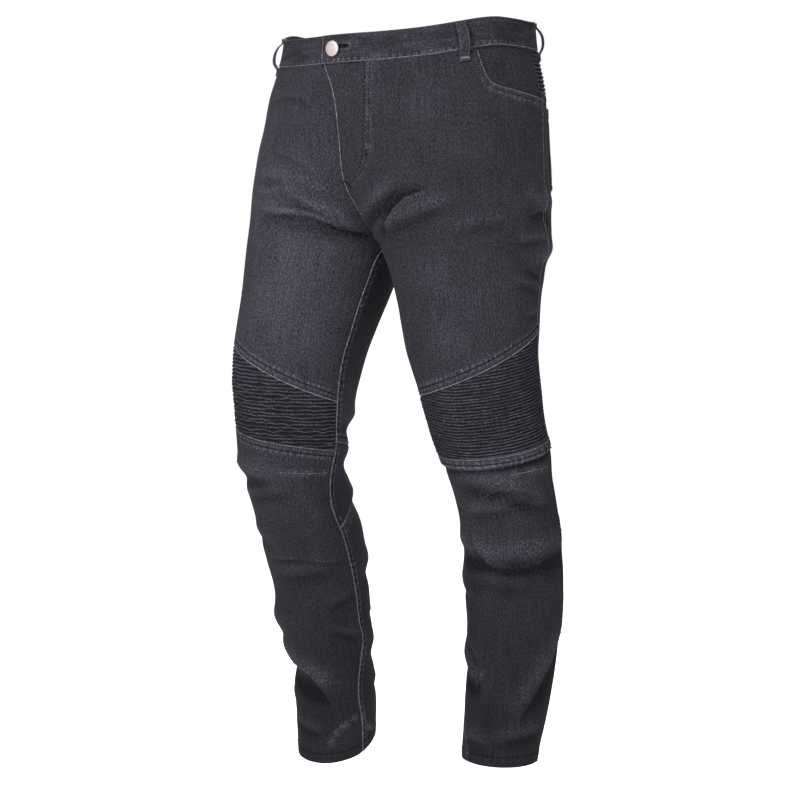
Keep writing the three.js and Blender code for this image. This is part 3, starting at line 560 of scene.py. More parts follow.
def wrinkles(side, place, z):
    """The fine creases, the sharp folds and the slight unevenness of worn cloth."""
    seed = 11 if side == "left" else 37
    across = place * MEAN_GIRTH
    soft = 0.5 * soft_noise(across / 34 + seed, z / 42) + 0.22 * soft_noise(across / 15, z / 19 + seed)
    creases = CREASE_DEPTH * fold_height(side, place, z, CREASES, 0.03)
    return creases + soft * calm_share(place, z, CENTRE_CALM) + sharp_folds(side, place, z)[0]


def on_cloth(side, place, z, lift=0.0):
    """Points of the cloth's outer face, lift millimetres out, as an array with x, y, z last."""
    place, z = np.broadcast_arrays(np.asarray(place, float), np.asarray(z, float))
    front, back = half_length(side, "front", z), half_length(side, "back", z)
    past_front, past_back = place < 0, place > 2
    over = np.where(past_front, -place * front, np.where(past_back, (place - 2) * back, 0))
    above = z > CROTCH_Z
    own_place = np.where(past_front, 2 - over / back, np.where(past_back, over / front, place))
    other = OTHER[side]
    other_front, other_back = half_length(other, "front", z), half_length(other, "back", z)
    other_place = np.where(past_front, over / other_front, 2 - over / other_back)
    crosses = above & (past_front | past_back)
    values = read_surface(side, own_place, z)
    folds = fold_height(side, own_place, z, FOLDS) + wrinkles(side, own_place, z)
    if crosses.any():
        values = np.where(crosses[..., None], read_surface(other, other_place, z), values)
        there = fold_height(other, other_place, z, FOLDS) + wrinkles(other, other_place, z)
        folds = np.where(crosses, there, folds)
    outward = values[..., 2:]
    outward = outward / np.linalg.norm(outward, axis=-1, keepdims=True)
    flat = values[..., :2] + outward * (folds + lift)[..., None]
    return np.concatenate([flat, z[..., None]], axis=-1)


# Lines on the cloth, each giving heights by share
def waist_edge(depth):
    dip = WAIST_DIP * smoothstep(-depth, *WAIST_DIP_FROM)
    rise = WAIST_RISE * smoothstep(depth, *WAIST_RISE_FROM)
    return WAIST_SIDE - dip + rise


def below_waist(side, place, drop):
    place = np.asarray(place, float)
    depth = read_surface(side, np.abs(place), np.zeros(np.shape(place)))[..., 1]
    return waist_edge(depth) - drop


def as_place(half, share):
    return share if half == "front" else 2 - share


def band_bottom(side, half):
    return lambda share: below_waist(side, as_place(half, share), BAND_HEIGHT + BAND_SEAM)


def slant_seam(inner, outer, bow, curve=S_SHAPE):
    def line(share):
        along = share * (1 - curve) + smoothstep(share, 0, 1) * curve
        return inner + (outer - inner) * along + bow * np.sin(math.pi * np.clip(share, 0, 1))

    return line


def moved(line, distance):
    return lambda share: line(share) + distance


def pocket_line(side):
    edge = smooth_table(POCKET_EDGE)
    bottom = band_bottom(side, "front")

    def line(share):
        share = np.asarray(share, float)
        distance = np.maximum(share - POCKET_START, 0) * half_length(side, "front", -40)
        under_band = 3 * (1 - smoothstep(share, POCKET_START - 0.02, POCKET_START - 0.004))
        return bottom(share) + under_band - np.where(share > POCKET_START, edge(distance)[0], 0)

    return line


def hem_line(side, half):
    z, slope = HEM[side]
    depth = smooth_table(SECTIONS[side])(z)[1]

    def line(share):
        place = np.clip(as_place(half, np.asarray(share, float)), 0, 2)
        return z + slope * (on_cloth(side, place, z)[..., 1] - depth)

    return line


def back_pocket_bottom(yoke_low):
    start, end = BACK_POCKET_SHARES

    def line(share):
        towards_middle = 1 - np.abs(2 * (share - start) / (end - start) - 1)
        return yoke_low(share) - BACK_POCKET_DROP - BACK_POCKET_HEIGHT - BACK_POCKET_POINT * towards_middle

    return line


def fly_edge_place(z):
    """Place of the left front's edge, which laps over the right front down to the end of the fly."""
    reach = smooth_table(FLY_EDGE)(z)[0]
    return -reach / half_length("left", "front", z)


def fly_lift(place, z):
    distance = place * half_length("left", "front", z)
    return FLY_LIFT * smoothstep(z, *FLY_LIFT_END) * (1 - smoothstep(distance, *FLY_RIDGE))


# Seams: what an edge of a piece does there. An over edge lies on its neighbour, doubled and stitched. An
# under edge goes on below its neighbour, a free edge is a hem, and a hidden one ends inside the waistband.
EDGE_FINE = [0, 0.4, 0.9, 1.5, 2.2, 3.1, 4.4, 6]
BAND_FINE = [-1.8, -1, -0.5, 0, 0.5, 1.1, 1.9, 2.8, 4.2]
PUCKER_PITCH = 8.5
WIDE_BAND = 3  # a row of stitches further in than this has worn crests beside it


def edge_offsets(kind, band=0):
    """Distances of the columns or rows beside an edge, negative where it goes on under its neighbour."""
    if kind == "under":
        return [-TUCK, -2.5, -0.6, *EDGE_FINE[1:]]
    if kind == "hidden":
        return [-3, 0, 2, 4, 6]
    beside = [band + d for d in BAND_FINE] if band > EDGE_FINE[-1] else []
    return [d for d in EDGE_FINE if not beside or d < beside[0] - 0.5] + beside


def grid_lines(start, end, span, step):
    """(fraction, offset) of each column or row of a panel: fine beside the edges and even between."""
    first, last = edge_offsets(*start), edge_offsets(*end)
    lines = [(0.0, d) for d in first]
    count = max(int(round((span - first[-1] - last[-1]) / step)), 1)
    lines += [(t, first[-1] * (1 - t) - last[-1] * t) for t in np.linspace(0, 1, count + 1)[1:-1]]
    lines += [(1.0, -d) for d in reversed(last)]
    return np.array(lines)


def with_extra(columns, extra):
    """Columns of a panel, with extra ones in the place of those from the first extra to the last."""
    kept = [row for row in columns if row[0] in (0.0, 1.0) or not extra[0] < row[0] < extra[-1]]
    columns = np.concatenate([kept, [(fraction, 0.0) for fraction in extra]])
    return columns[np.argsort(columns[:, 0] + columns[:, 1] / GRID_GIRTH, kind="stable")]


def rib_rows(bottom, top, tall):
    """(fraction, offset) of each row of a ribbed panel, close together over its whole height."""
    before = [(0.0, d) for d in edge_offsets(bottom) if d < 0]
    inside = [(t, 0.0) for t in np.linspace(0, 1, int(tall / RIB_STEP) + 1)]
    after = [(1.0, -d) for d in reversed(edge_offsets(top)) if d < 0]
    return np.array(before + inside + after)


def distance_to(place, z, side, line_place, line_z):
    """Distance over the cloth from points to a line, and how far along the line the nearest point is."""
    girth = length_at(side, place, z)
    best = np.full(z.shape, 1e9)
    along = np.zeros(z.shape)
    run = 0.0
    for k in range(len(line_z) - 1):
        ax, az = (line_place[k] - place) * girth, line_z[k] - z
        bx, bz = (line_place[k + 1] - place) * girth, line_z[k + 1] - z
        dx, dz = bx - ax, bz - az
        t = np.clip(-(ax * dx + az * dz) / (dx * dx + dz * dz + 1e-9), 0, 1)
        distance = np.hypot(ax + t * dx, az + t * dz)
        length = float(np.median(np.hypot(dx, dz)))
        nearer = distance < best
        along = np.where(nearer, run + t * length, along)
        best = np.where(nearer, distance, best)
        run += length
    return best, along


def edge_relief(kind, band, distance, along, phase):
    """How far a seam moves the cloth out beside an edge, and how much the dye is worn away there."""
    if kind == "under":
        return -SINK * (1 - smoothstep(distance, 0, 2.4)), 0 * distance
    if kind == "hidden":
        return 0 * distance, 0 * distance
    wave = np.sin(2 * math.pi * along / PUCKER_PITCH + 2.5 * soft_noise(along / 21, phase))
    uneven = 0.5 + 0.5 * soft_noise(along / 13, phase + 5)
    layer = 0.4 * (1 - smoothstep(distance, band - 1, band + 1.4))
    channel = -0.45 * bump(distance, band, 0.9) - 0.15 * bump(distance, 1.6, 0.7)
    rolled = -0.55 * (1 - smoothstep(distance, 0, 0.9))
    window = bump(distance - band, 1, 4) + 0.5 * bump(distance, band / 2, 3)
    pucker = 0.38 * wave * uneven * window
    wear_and_shade = 0.30 * bump(distance, 0, 1.1)
    if kind == "free":
        wear_and_shade = wear_and_shade * 0.6 - 0.12 * bump(distance, band, 0.8)
        wear_and_shade = wear_and_shade + 0.05 * wave * uneven * bump(distance, band, 3)
    elif band > WIDE_BAND:
        crests = bump(distance - band, 2.6, 2.2) + 0.8 * bump(distance - band, -3, 2)
        wear_and_shade = wear_and_shade + (0.30 + 0.62 * np.maximum(wave, -0.3) * (0.4 + uneven)) * crests
        wear_and_shade = wear_and_shade - 0.55 * bump(distance, band, 0.75)
    return layer + channel + rolled + pucker, wear_and_shade


# Where the dye has faded, and, with negative strength near the crotch and between the legs, painted shade:
# side, place and height of the middle, reach across and down, and strength
FADES_AND_SHADES = [
    ("left", 0.42, -210, 80, 110, -0.018),
    ("left", 0.95, -220, 40, 160, 0.028),
    # Painted shade just below the crotch, on the inner front of the right thigh
    ("right", 0.1, -325, 40, 60, -0.035),
    ("left", 0.45, -390, 80, 70, 0.022),
    ("right", 0.42, -260, 75, 150, 0.10),
    ("right", 0.45, -400, 80, 70, 0.055),
    # Painted shade on the back of the right thigh, between the legs
    ("right", 1.9, -390, 60, 110, -0.075),
    ("right", 0.62, -150, 80, 90, 0.04),
    ("left", 0.5, -640, 70, 60, 0.05),
    ("right", 0.4, -640, 80, 60, 0.05),
    ("left", 1.5, -230, 90, 90, 0.10),
    ("right", 1.5, -230, 90, 90, 0.10),
    ("left", 1.5, -460, 70, 110, 0.05),
    ("right", 1.5, -460, 70, 110, 0.05),
]
PALE_ALL_OVER, LESS_BELOW_KNEE, LESS_AT_HEM = 0.140, 0.052, 0.028


def fade_and_shade_tone(side, place, z):
    total = np.zeros(np.shape(z))
    for fade_side, at, height, across, down, strength in FADES_AND_SHADES:
        if fade_side == side:
            spread = ((place - at) * MEAN_GIRTH / across) ** 2 + ((z - height) / down) ** 2
            total += strength * np.exp(-spread)
    below_knee, at_hem = smoothstep(-z, 520, 680), smoothstep(-z, 700, 960)
    return total + PALE_ALL_OVER - LESS_BELOW_KNEE * below_knee - LESS_AT_HEM * at_hem


def mesh_from_grids(name, outer, inner, attributes, flip, cloth_uv):
    """A closed wall between two grids of points, with its attributes and its own cloth coordinates."""
    rows, columns = outer.shape[:2]
    count = rows * columns
    index = np.arange(count).reshape(rows, columns)
    a, b, c, d = index[:-1, :-1], index[:-1, 1:], index[1:, 1:], index[1:, :-1]
    front = np.stack([a, b, c, d], -1).reshape(-1, 4)
    back = np.stack([a, d, c, b], -1).reshape(-1, 4) + count
    ring = np.concatenate([index[0, :-1], index[:-1, -1], index[-1, :0:-1], index[:0:-1, 0]])
    onward = np.roll(ring, -1)
    rim = np.stack([ring, ring + count, onward + count, onward], -1)
    faces = np.concatenate([front, back, rim])
    if flip:
        faces = faces[:, ::-1]
    vertices = np.concatenate([outer.reshape(-1, 3), inner.reshape(-1, 3)]) * MM
    mesh = bpy.data.meshes.new(name)
    mesh.vertices.add(len(vertices))
    mesh.vertices.foreach_set("co", vertices.ravel())
    mesh.loops.add(faces.size)
    mesh.loops.foreach_set("vertex_index", faces.ravel())
    mesh.polygons.add(len(faces))
    mesh.polygons.foreach_set("loop_start", np.arange(0, faces.size, 4))
    mesh.polygons.foreach_set("loop_total", np.full(len(faces), 4))
    mesh.update(calc_edges=True)
    mesh.validate()
    for key, values in attributes.items():
        layer = mesh.attributes.new(key, "FLOAT", "POINT")
        doubled = np.concatenate([values.ravel(), values.ravel()])
        layer.data.foreach_set("value", doubled.astype(np.float32))
    inside = mesh.attributes.new("inside", "FLOAT", "POINT")
    inside.data.foreach_set("value", np.repeat([0.0, 1.0], count).astype(np.float32))
    uv = mesh.uv_layers.new(name="cloth")
    flat = np.concatenate([cloth_uv.reshape(-1, 2)] * 2) * MM
    uv.data.foreach_set("uv", flat[faces.ravel()].astype(np.float32).ravel())
    mesh.shade_smooth()
    mesh.set_sharp_from_angle(angle=math.radians(62))
    return mesh


def show(name, mesh, material):
    piece = bpy.data.objects.new(name, mesh)
    bpy.context.scene.collection.objects.link(piece)
    if material is not None:
        mesh.materials.clear()
        mesh.materials.append(material)
    return piece


STITCH_ROWS = {}  # rows of stitches by piece and kind, as lists of points


def stitch(piece, kind, points):
    STITCH_ROWS.setdefault((piece, kind), []).append(np.asarray(points))


class Panel:
    """One cut piece of cloth on one half of the trousers."""

    def __init__(self, name, side, half, bottom, top, edges,
                 ribs=None, shares=(0.0, 1.0), lift=None, extra=()):
        self.name, self.side, self.half = name, side, half
        self.bottom, self.top, self.edges = bottom, top, edges
        self.ribs, self.lift = ribs, lift
        if ribs:
            self.rib_kind, self.waver, self.slack, self.pitch = ribs
        self.low, self.high = low, high = shares
        columns = grid_lines(edges["inner"], edges["outer"], (high - low) * GRID_GIRTH, STEP)
        if len(extra):
            columns = with_extra(columns, extra)
        middle = np.array([0.5 * (low + high)])
        tall = float(top(middle)[0] - bottom(middle)[0])
        if ribs:
            rows = rib_rows(edges["bottom"][0], edges["top"][0], tall)
        else:
            rows = grid_lines(edges["bottom"], edges["top"], tall, STEP)
        f_row, o_row = rows[:, :1], rows[:, 1:]
        f_column, o_column = columns[:, 0][None], columns[:, 1][None]
        z = np.full((len(rows), len(columns)), float(self.bottom(middle)[0] + tall / 2))
        for _ in range(4):
            start = self.start_share(z)
            share = start + (high - start) * f_column + o_column / half_length(side, half, z)
            inner_share = np.clip(share, min(low, float(start.min())), high)
            z_low, z_high = bottom(inner_share), top(inner_share)
            z = z_low + (z_high - z_low) * f_row + o_row
        self.share, self.z = share, z
        self.place = as_place(half, share)

    def start_share(self, z):
        """Share of the panel's inner edge at a height."""
        z = np.asarray(z, float)
        if self.name == "front_left":
            return fly_edge_place(z)
        if self.name in ("front_right", "back_thigh_right"):
            swing = smooth_table(INSEAM_SWING)(z)[0] / half_length("right", self.half, z)
            return swing if self.half == "front" else -swing
        return np.full(z.shape, float(self.low))

    def edge_line(self, which, count=70):
        """Places and heights down one edge of the piece."""
        if which in ("bottom", "top"):
            share = np.linspace(self.low, self.high, count)
            if which == "top" and self.name.startswith("front_"):
                share = np.sort(np.concatenate([share, np.linspace(POCKET_START, POCKET_START + 0.06, 40)]))
            line = self.bottom if which == "bottom" else self.top
            return as_place(self.half, share), line(share)
        at = self.low if which == "inner" else self.high
        z = np.linspace(float(self.bottom(np.array([at]))[0]), float(self.top(np.array([at]))[0]), count)
        share = self.start_share(z) if which == "inner" else np.full(count, at)
        return as_place(self.half, share), z

    def relief(self, place, z):
        lift = np.zeros(z.shape)
        wear_and_shade = np.zeros(z.shape)
        for number, (which, (kind, band)) in enumerate(self.edges.items()):
            line_place, line_z = self.edge_line(which)
            distance, along = distance_to(place, z, self.side, line_place, line_z)
            if kind == "under":
                share = place if self.half == "front" else 2 - place
                beyond = {
                    "inner": share < self.start_share(z),
                    "outer": share > self.high,
                    "bottom": z < self.bottom(share),
                    "top": z > self.top(share),
                }[which]
                distance = np.where(beyond, 0, distance)
            move, wear = edge_relief(kind, band, distance, along, number * 9.0 + len(self.name))
            if which == "top" and self.name.startswith("front_"):
                mouth = smoothstep(place, POCKET_START - 0.012, POCKET_START + 0.004)
                move, wear = move * mouth, wear * mouth
            lift += move
            wear_and_shade += wear
        return lift, wear_and_shade

    def rib_wave(self, share, z):
        """Height of the ribs from 0 to 1: narrow crests that waver, and break up where the cloth is slack."""
        low, high = self.bottom(share), self.top(share)
        t = (z - low) / (high - low)
        along = share * MEAN_GIRTH
        phase = (z - self.rib_level(share)) / self.pitch
        phase = phase + 0.5 * self.waver * soft_noise(along / 26 + 3, z / 17)
        loose = self.slack * smoothstep(share, 0.98, 0.55) * smoothstep(t, 0.95, 0.3)
        sway = self.waver * (0.7 + 1.1 * loose)
        highest = np.zeros(z.shape)
        for step in (-1, 0, 1, 2):
            rib = np.floor(phase) + step
            own = soft_noise(along / 10 + 5, rib * 7.31 + 0.5)
            own = own + 0.6 * soft_noise(along / 4.6, rib * 3.7 + 0.5)
            strength = 1 - 0.75 * loose * smoothstep(soft_noise(along / 13 + 30, rib * 5.3 + 0.5), -0.1, 0.7)
            highest = np.maximum(highest, strength * bump(phase - rib, sway * own, RIB_CREST))
        return highest * (1 + 0.25 * soft_noise(along / 9 + 40, z / self.pitch))

    def rib_level(self, share):
        """Height of one rib at each share, which the others follow."""
        if self.rib_kind == "level":
            return self.bottom(np.array(0.5)) + 10 * (share - 0.5)
        if self.rib_kind == "sag":
            return self.bottom(share) + 13 * (1 - smoothstep(share, 0, 0.5))
        return 0.5 * (self.bottom(share) + self.top(share))

    def build(self, material):
        place, z, share = self.place, self.z, self.share
        relief, wear_and_shade = self.relief(place, z)
        base = np.zeros(z.shape) if self.lift is None else self.lift(place, z)
        girth = half_length(self.side, self.half, z)
        groove = np.zeros(z.shape)
        raised = relief
        if self.ribs:
            wave = self.rib_wave(np.clip(share, self.low, self.high), z)
            calm = 0.25 + 0.75 * smoothstep(relief, -SINK, -0.25)
            raised = relief + RIB_HEIGHT * wave * calm
            groove = 1 - wave
        outer = on_cloth(self.side, place, z, base + raised)
        inner = on_cloth(self.side, place, z, base + np.minimum(relief, 0) - WALL)
        folds = wrinkles(self.side, place, z) + fold_height(self.side, place, z, FOLDS)
        wear_and_shade = wear_and_shade + sharp_folds(self.side, place, z)[1]
        for row in WORN_ROWS.get(self.name, []):
            wear_and_shade = wear_and_shade + self.beside_rows(place, z, row)
        attributes = {
            # Fold ridges are painted paler as wear, and fold troughs darker as painted shade
            "wear_and_shade": wear_and_shade + FOLD_WEAR_AND_SHADE * np.clip(folds, -3, 4),
            "fade_and_shade": fade_and_shade_tone(self.side, place, z),
            "groove": groove,
        }
        flip = (self.side == "right") != (self.half == "back")
        centre = (self.low + self.high) / 2
        seed = sum(map(ord, self.name))
        across = (share - centre) * girth * SIDES[self.side] + seed
        uv = np.stack([across, z + seed * 0.37], -1)
        mesh = mesh_from_grids(self.name, outer, inner, attributes, flip, uv)
        self.piece = show("cloth_" + self.name, mesh, material)
        width = float(np.mean(np.abs(share[:, -1] - share[:, 0]) * girth[:, 0]))
        lengths = z[-1] - z[0]
        self.flat = (width, float(lengths.max()), width * float(lengths.mean()))
        return self.piece

    def beside_rows(self, place, z, row):
        """Paler cloth beside a row of stitches."""
        distance, along = distance_to(place, z, self.side, *np.array(row).T)
        return (0.22 + 0.2 * soft_noise(along / 5, 4.0)) * bump(distance, 2.5, 2.6)

    def seam_points(self, which, distance, step=1.6, trim=0.0, lift=0.25):
        """Points on the finished cloth in a row that runs at a distance inside an edge."""
        place, z = self.edge_line(which, 160)
        girth = length_at(self.side, place, z)
        dx = np.gradient(place * girth)
        dz = np.gradient(z)
        size = np.hypot(dx, dz) + 1e-9
        sign = 1 if (which in ("inner", "top")) == (self.half == "front") else -1
        if which in ("inner", "outer"):
            inward = (sign * np.abs(dz), -sign * np.sign(dz) * dx)
        else:
            inward = (sign * dz, -sign * dx)
        place = place + inward[0] / size * distance / girth
        z = z + inward[1] / size * distance
        run = np.concatenate([[0], np.cumsum(np.hypot(np.diff(place) * girth[1:], np.diff(z)))])
        at = np.arange(trim, run[-1] - trim, step)
        place, z = np.interp(at, run, place), np.interp(at, run, z)
        return self.points(place, z, lift)

    def points(self, place, z, lift=0.25):
        relief, _ = self.relief(place, z)
        base = 0 if self.lift is None else self.lift(place, z)
        return on_cloth(self.side, place, z, base + relief + lift)


# Materials
def shader(name):
    material = bpy.data.materials.new(name)
    material.use_nodes = True
    tree = material.node_tree
    return material, tree, tree.nodes["Principled BSDF"]


def set_inputs(node, values):
    for name, value in values.items():
        node.inputs[name].default_value = value


class Nodes:
    """Short ways to make and join the nodes of a material."""

    def __init__(self, tree):
        self.tree = tree

    def new(self, kind, **settings):
        node = self.tree.nodes.new(kind)
        for key, value in settings.items():
            setattr(node, key, value)
        return node

    def join(self, start, end):
        self.tree.links.new(start, end)

    def put(self, socket, value):
        if isinstance(value, (int, float, tuple)):
            socket.default_value = value
        else:
            self.join(value, socket)

    def maths(self, operation, *values, clamp=False):
        node = self.new("ShaderNodeMath", operation=operation, use_clamp=clamp)
        for socket, value in zip(node.inputs, values):
            self.put(socket, value)
        return node.outputs[0]

    def attribute(self, name):
        return self.new("ShaderNodeAttribute", attribute_name=name).outputs["Fac"]

    def scaled(self, vector, scale):
        node = self.new("ShaderNodeMapping")
        self.join(vector, node.inputs["Vector"])
        node.inputs["Scale"].default_value = scale
        return node.outputs[0]

    def noise(self, vector, scale, detail=2.0, roughness=0.5):
        node = self.new("ShaderNodeTexNoise")
        self.join(vector, node.inputs["Vector"])
        set_inputs(node, {"Scale": scale, "Detail": detail, "Roughness": roughness})
        return node.outputs["Fac"]

    def spread(self, value, low, high, to_low=0.0, to_high=1.0):
        node = self.new("ShaderNodeMapRange")
        self.join(value, node.inputs["Value"])
        set_inputs(node, {"From Min": low, "From Max": high, "To Min": to_low, "To Max": to_high})
        return node.outputs["Result"]

    def mix(self, share, first, second):
        node = self.new("ShaderNodeMix", data_type="RGBA")
        self.put(node.inputs["Factor"], share)
        colours = [socket for socket in node.inputs if socket.type == "RGBA"]
        for socket, value in zip(colours, (first, second)):
            self.put(socket, value)
        return next(socket for socket in node.outputs if socket.type == "RGBA")

    def spots(self, cloth, across, down, detail=2.0, roughness=0.5):
        """Noise with spots of a size on the cloth, in metres."""
        return self.noise(self.scaled(cloth, (1 / across, 1 / down, 1)), 1.0, detail, roughness)

    def bump(self, height, strength, distance):
        node = self.new("ShaderNodeBump")
        set_inputs(node, {"Strength": strength, "Distance": distance})
        self.join(height, node.inputs["Height"])
        return node.outputs[0]


YARN = 0.00052  # breadth of a warp yarn in metres
DARK_DYE = (0.0060, 0.0055, 0.0070, 1)
PALE_DYE = (0.172, 0.166, 0.212, 1)
INSIDE_TONE = (0.105, 0.103, 0.112, 1)


def denim(name, ribbed=False):
    """Washed twill: dark warp yarns with paler weft between them, slubs, dye worn off where it rubs, and
    painted shade in folds, rib grooves, the buttonhole and near the crotch.
    """
    material, tree, principled = shader(name)
    n = Nodes(tree)
    cloth = n.new("ShaderNodeUVMap", uv_map="cloth").outputs[0]
    axes = n.new("ShaderNodeSeparateXYZ")
    n.join(cloth, axes.inputs[0])
    across, down = axes.outputs[0], axes.outputs[1]
    diagonal = n.maths("ADD", across, n.maths("MULTIPLY", down, 0.55))
    twill = n.maths("SINE", n.maths("MULTIPLY", diagonal, 2 * math.pi / (2 * YARN)))
    twill = n.spread(twill, -1, 1)
    slub = n.spots(cloth, 0.0012, 0.0050, 2.0, 0.6)
    grain = n.spots(cloth, 0.0014, 0.0017, 3.0, 0.7)
    cloudy = n.spots(cloth, 0.035, 0.05)
    streak = n.spots(cloth, 0.0019, 0.05)
    specks = n.spots(cloth, 0.0016, 0.0021, 0.0)
    patches = n.spots(cloth, 0.0034, 0.0034, 2.0, 0.6)
    # Wear pales the cloth, and the same attribute darkens it as painted shade in fold troughs, below the lips
    # of sharp folds and in the buttonhole's slot; the fade attribute also carries painted shade near the
    # crotch and between the legs
    wear_and_shade, fade_and_shade = n.attribute("wear_and_shade"), n.attribute("fade_and_shade")
    uneven = 1.0
    for layer, strength in ((slub, 0.70), (grain, 0.95), (cloudy, 0.12), (streak, 0.36)):
        uneven = n.maths("MULTIPLY_ADD", n.spread(layer, 0.3, 0.7, -1, 1), strength, uneven)
    uneven = n.maths("MULTIPLY_ADD", n.spread(specks, 0.60, 0.76), 1.4, uneven)
    uneven = n.maths("MULTIPLY_ADD", n.maths("SUBTRACT", twill, 0.5), 0.40, uneven)
    base = n.maths("MULTIPLY_ADD", wear_and_shade, n.spread(patches, 0.32, 0.66, 0.05, 0.75), fade_and_shade)
    # Ribbed cloth: paler on the crests, as worn dye, and much darker in the grooves between them, as painted
    # shade
    if ribbed:
        base = n.maths("MULTIPLY", base, n.spread(n.attribute("groove"), 0.1, 0.85, 2.7, 0.17))
    tone = n.maths("MAXIMUM", n.maths("MULTIPLY", base, uneven), 0.0)
    tone = n.maths("MINIMUM", tone, 1.0)
    outside = n.mix(tone, DARK_DYE, PALE_DYE)
    inside = n.mix(n.spread(grain, 0.3, 0.7, 0.35, 0.9), DARK_DYE, INSIDE_TONE)
    colour = n.mix(n.attribute("inside"), outside, inside)
    n.join(colour, principled.inputs["Base Color"])
    set_inputs(principled, {
        "Roughness": 0.88,
        "Specular IOR Level": 0.12,
        "Sheen Weight": 0.035,
        "Sheen Roughness": 0.55,
        "Sheen Tint": (0.62, 0.64, 0.75, 1),
    })
    height = n.maths("ADD", n.maths("MULTIPLY", twill, 0.5), n.maths("MULTIPLY", slub, 0.9))
    height = n.maths("ADD", height, n.maths("MULTIPLY", grain, 0.7))
    n.join(n.bump(height, 0.45, 0.00035), principled.inputs["Normal"])
    return material


def thread(name, dark, pale):
    material, tree, principled = shader(name)
    n = Nodes(tree)
    place = n.new("ShaderNodeTexCoord").outputs["Object"]
    patchy = n.noise(place, 260, 2.0)
    n.join(n.mix(n.spread(patchy, 0.35, 0.65), dark, pale), principled.inputs["Base Color"])
    set_inputs(principled, {"Roughness": 0.8, "Specular IOR Level": 0.08})
    n.join(n.bump(n.noise(place, 5200, 1.0), 0.4, 0.0001), principled.inputs["Normal"])
    return material


def button_metal():
    """Satin metal with a patchy tint, uneven roughness and a fine grain of small bumps."""
    material, tree, principled = shader("satin_button")
    n = Nodes(tree)
    place = n.new("ShaderNodeTexCoord").outputs["Object"]
    patina = n.noise(place, 70, 2.0)
    tint = n.mix(n.spread(patina, 0.35, 0.7), (0.84, 0.75, 0.73, 1), (0.95, 0.88, 0.86, 1))
    n.join(tint, principled.inputs["Base Color"])
    set_inputs(principled, {"Metallic": 0.7})
    n.join(n.spread(n.noise(place, 900, 2.0), 0.3, 0.7, 0.42, 0.56), principled.inputs["Roughness"])
    n.join(n.bump(n.noise(place, 2600, 2.0), 0.15, 0.00008), principled.inputs["Normal"])
    return material


DENIM = denim("washed_denim")
RIB_DENIM = denim("ribbed_stretch_denim", ribbed=True)
PALE_THREAD = thread("pale_thread", (0.17, 0.17, 0.19, 1), (0.46, 0.46, 0.50, 1))
DARK_THREAD = thread("dark_thread", (0.006, 0.006, 0.008, 1), (0.019, 0.019, 0.023, 1))
RUST_THREAD = thread("rust_thread", (0.14, 0.115, 0.11, 1), (0.34, 0.29, 0.29, 1))
METAL = button_metal()

# The cut pieces
PANELS = {}


def add_panel(name, *args, **settings):
    panel = Panel(name, *args, **settings)
    PANELS[name] = panel
    ribbed = panel.ribs is not None
    panel.build(RIB_DENIM if ribbed else DENIM)
    return panel


def edge_table(inner, outer, bottom, top):
    return {"inner": inner, "outer": outer, "bottom": bottom, "top": top}


def even_lift(height):
    return lambda place, z: np.full(np.shape(z), height)


UNDER, HIDDEN, OVER, HEM_FOLD = ("under", 0), ("hidden", 0), ("over", 1.4), ("free", 14)
MOUTH = np.concatenate([
    np.linspace(POCKET_START - 0.006, POCKET_START + 0.045, 21),
    np.linspace(POCKET_START + 0.052, POCKET_START + 0.11, 6),
])
for side in SIDES:
    first, second = ("over", "under") if side == "left" else ("under", "over")
    pocket = pocket_line(side)
    knee_top = slant_seam(*KNEE_TOP[side])
    knee_low = slant_seam(*KNEE_LOW[side], curve=KNEE_LOW_CURVE[side])
    back_top, back_low = slant_seam(*BACK_KNEE_TOP), slant_seam(*BACK_KNEE_LOW)
    yoke_low = slant_seam(*YOKE)
    add_panel(
        f"front_{side}", side, "front", knee_top, pocket,
        edge_table((first, 1.4), OVER, ("over", 10), ("over", 7)),
        lift=fly_lift if side == "left" else None, extra=MOUTH,
    )
    add_panel(
        f"pocket_facing_{side}", side, "front", moved(pocket, -FACING_TUCK), band_bottom(side, "front"),
        edge_table(HIDDEN, HIDDEN, HIDDEN, HIDDEN), shares=(0.6, 1.0), lift=even_lift(FACING_LIFT),
    )
    add_panel(
        f"knee_{side}", side, "front", knee_low, moved(knee_top, -SLANT_SEAM),
        edge_table((first, 1.4), OVER, UNDER, UNDER), ribs=RIBS[side],
    )
    add_panel(
        f"shin_{side}", side, "front", hem_line(side, "front"), moved(knee_low, -SLANT_SEAM),
        edge_table((first, 1.4), OVER, HEM_FOLD, ("over", 9)),
    )
    add_panel(
        f"yoke_{side}", side, "back", yoke_low, band_bottom(side, "back"),
        edge_table((second, 1.4), UNDER, UNDER, HIDDEN), ribs=RIBS["yoke"],
    )
    add_panel(
        f"back_thigh_{side}", side, "back", back_top, moved(yoke_low, -SLANT_SEAM),
        edge_table((second, 7), UNDER, ("over", 9), ("over", 7)),
    )
    add_panel(
        f"back_knee_{side}", side, "back", back_low, moved(back_top, -SLANT_SEAM),
        edge_table((second, 6), UNDER, UNDER, UNDER),
    )
    add_panel(
        f"calf_{side}", side, "back", hem_line(side, "back"), moved(back_low, -SLANT_SEAM),
        edge_table((second, 6), UNDER, HEM_FOLD, ("over", 9)),
    )
    add_panel(
        f"back_pocket_{side}", side, "back", back_pocket_bottom(yoke_low), moved(yoke_low, -BACK_POCKET_DROP),
        edge_table(("over", 7), ("over", 7), ("over", 7), HEM_FOLD),
        shares=BACK_POCKET_SHARES, lift=even_lift(BACK_POCKET_LIFT),
    )


# The waistband, a doubled strip that goes once round and laps over itself in front
def band_lift(side, distance):
    if side != "left":
        return np.zeros(np.shape(distance))
    return BAND_LIFT * (1 - smoothstep(distance, BAND_LIFT_FULL, BAND_LIFT_GONE))


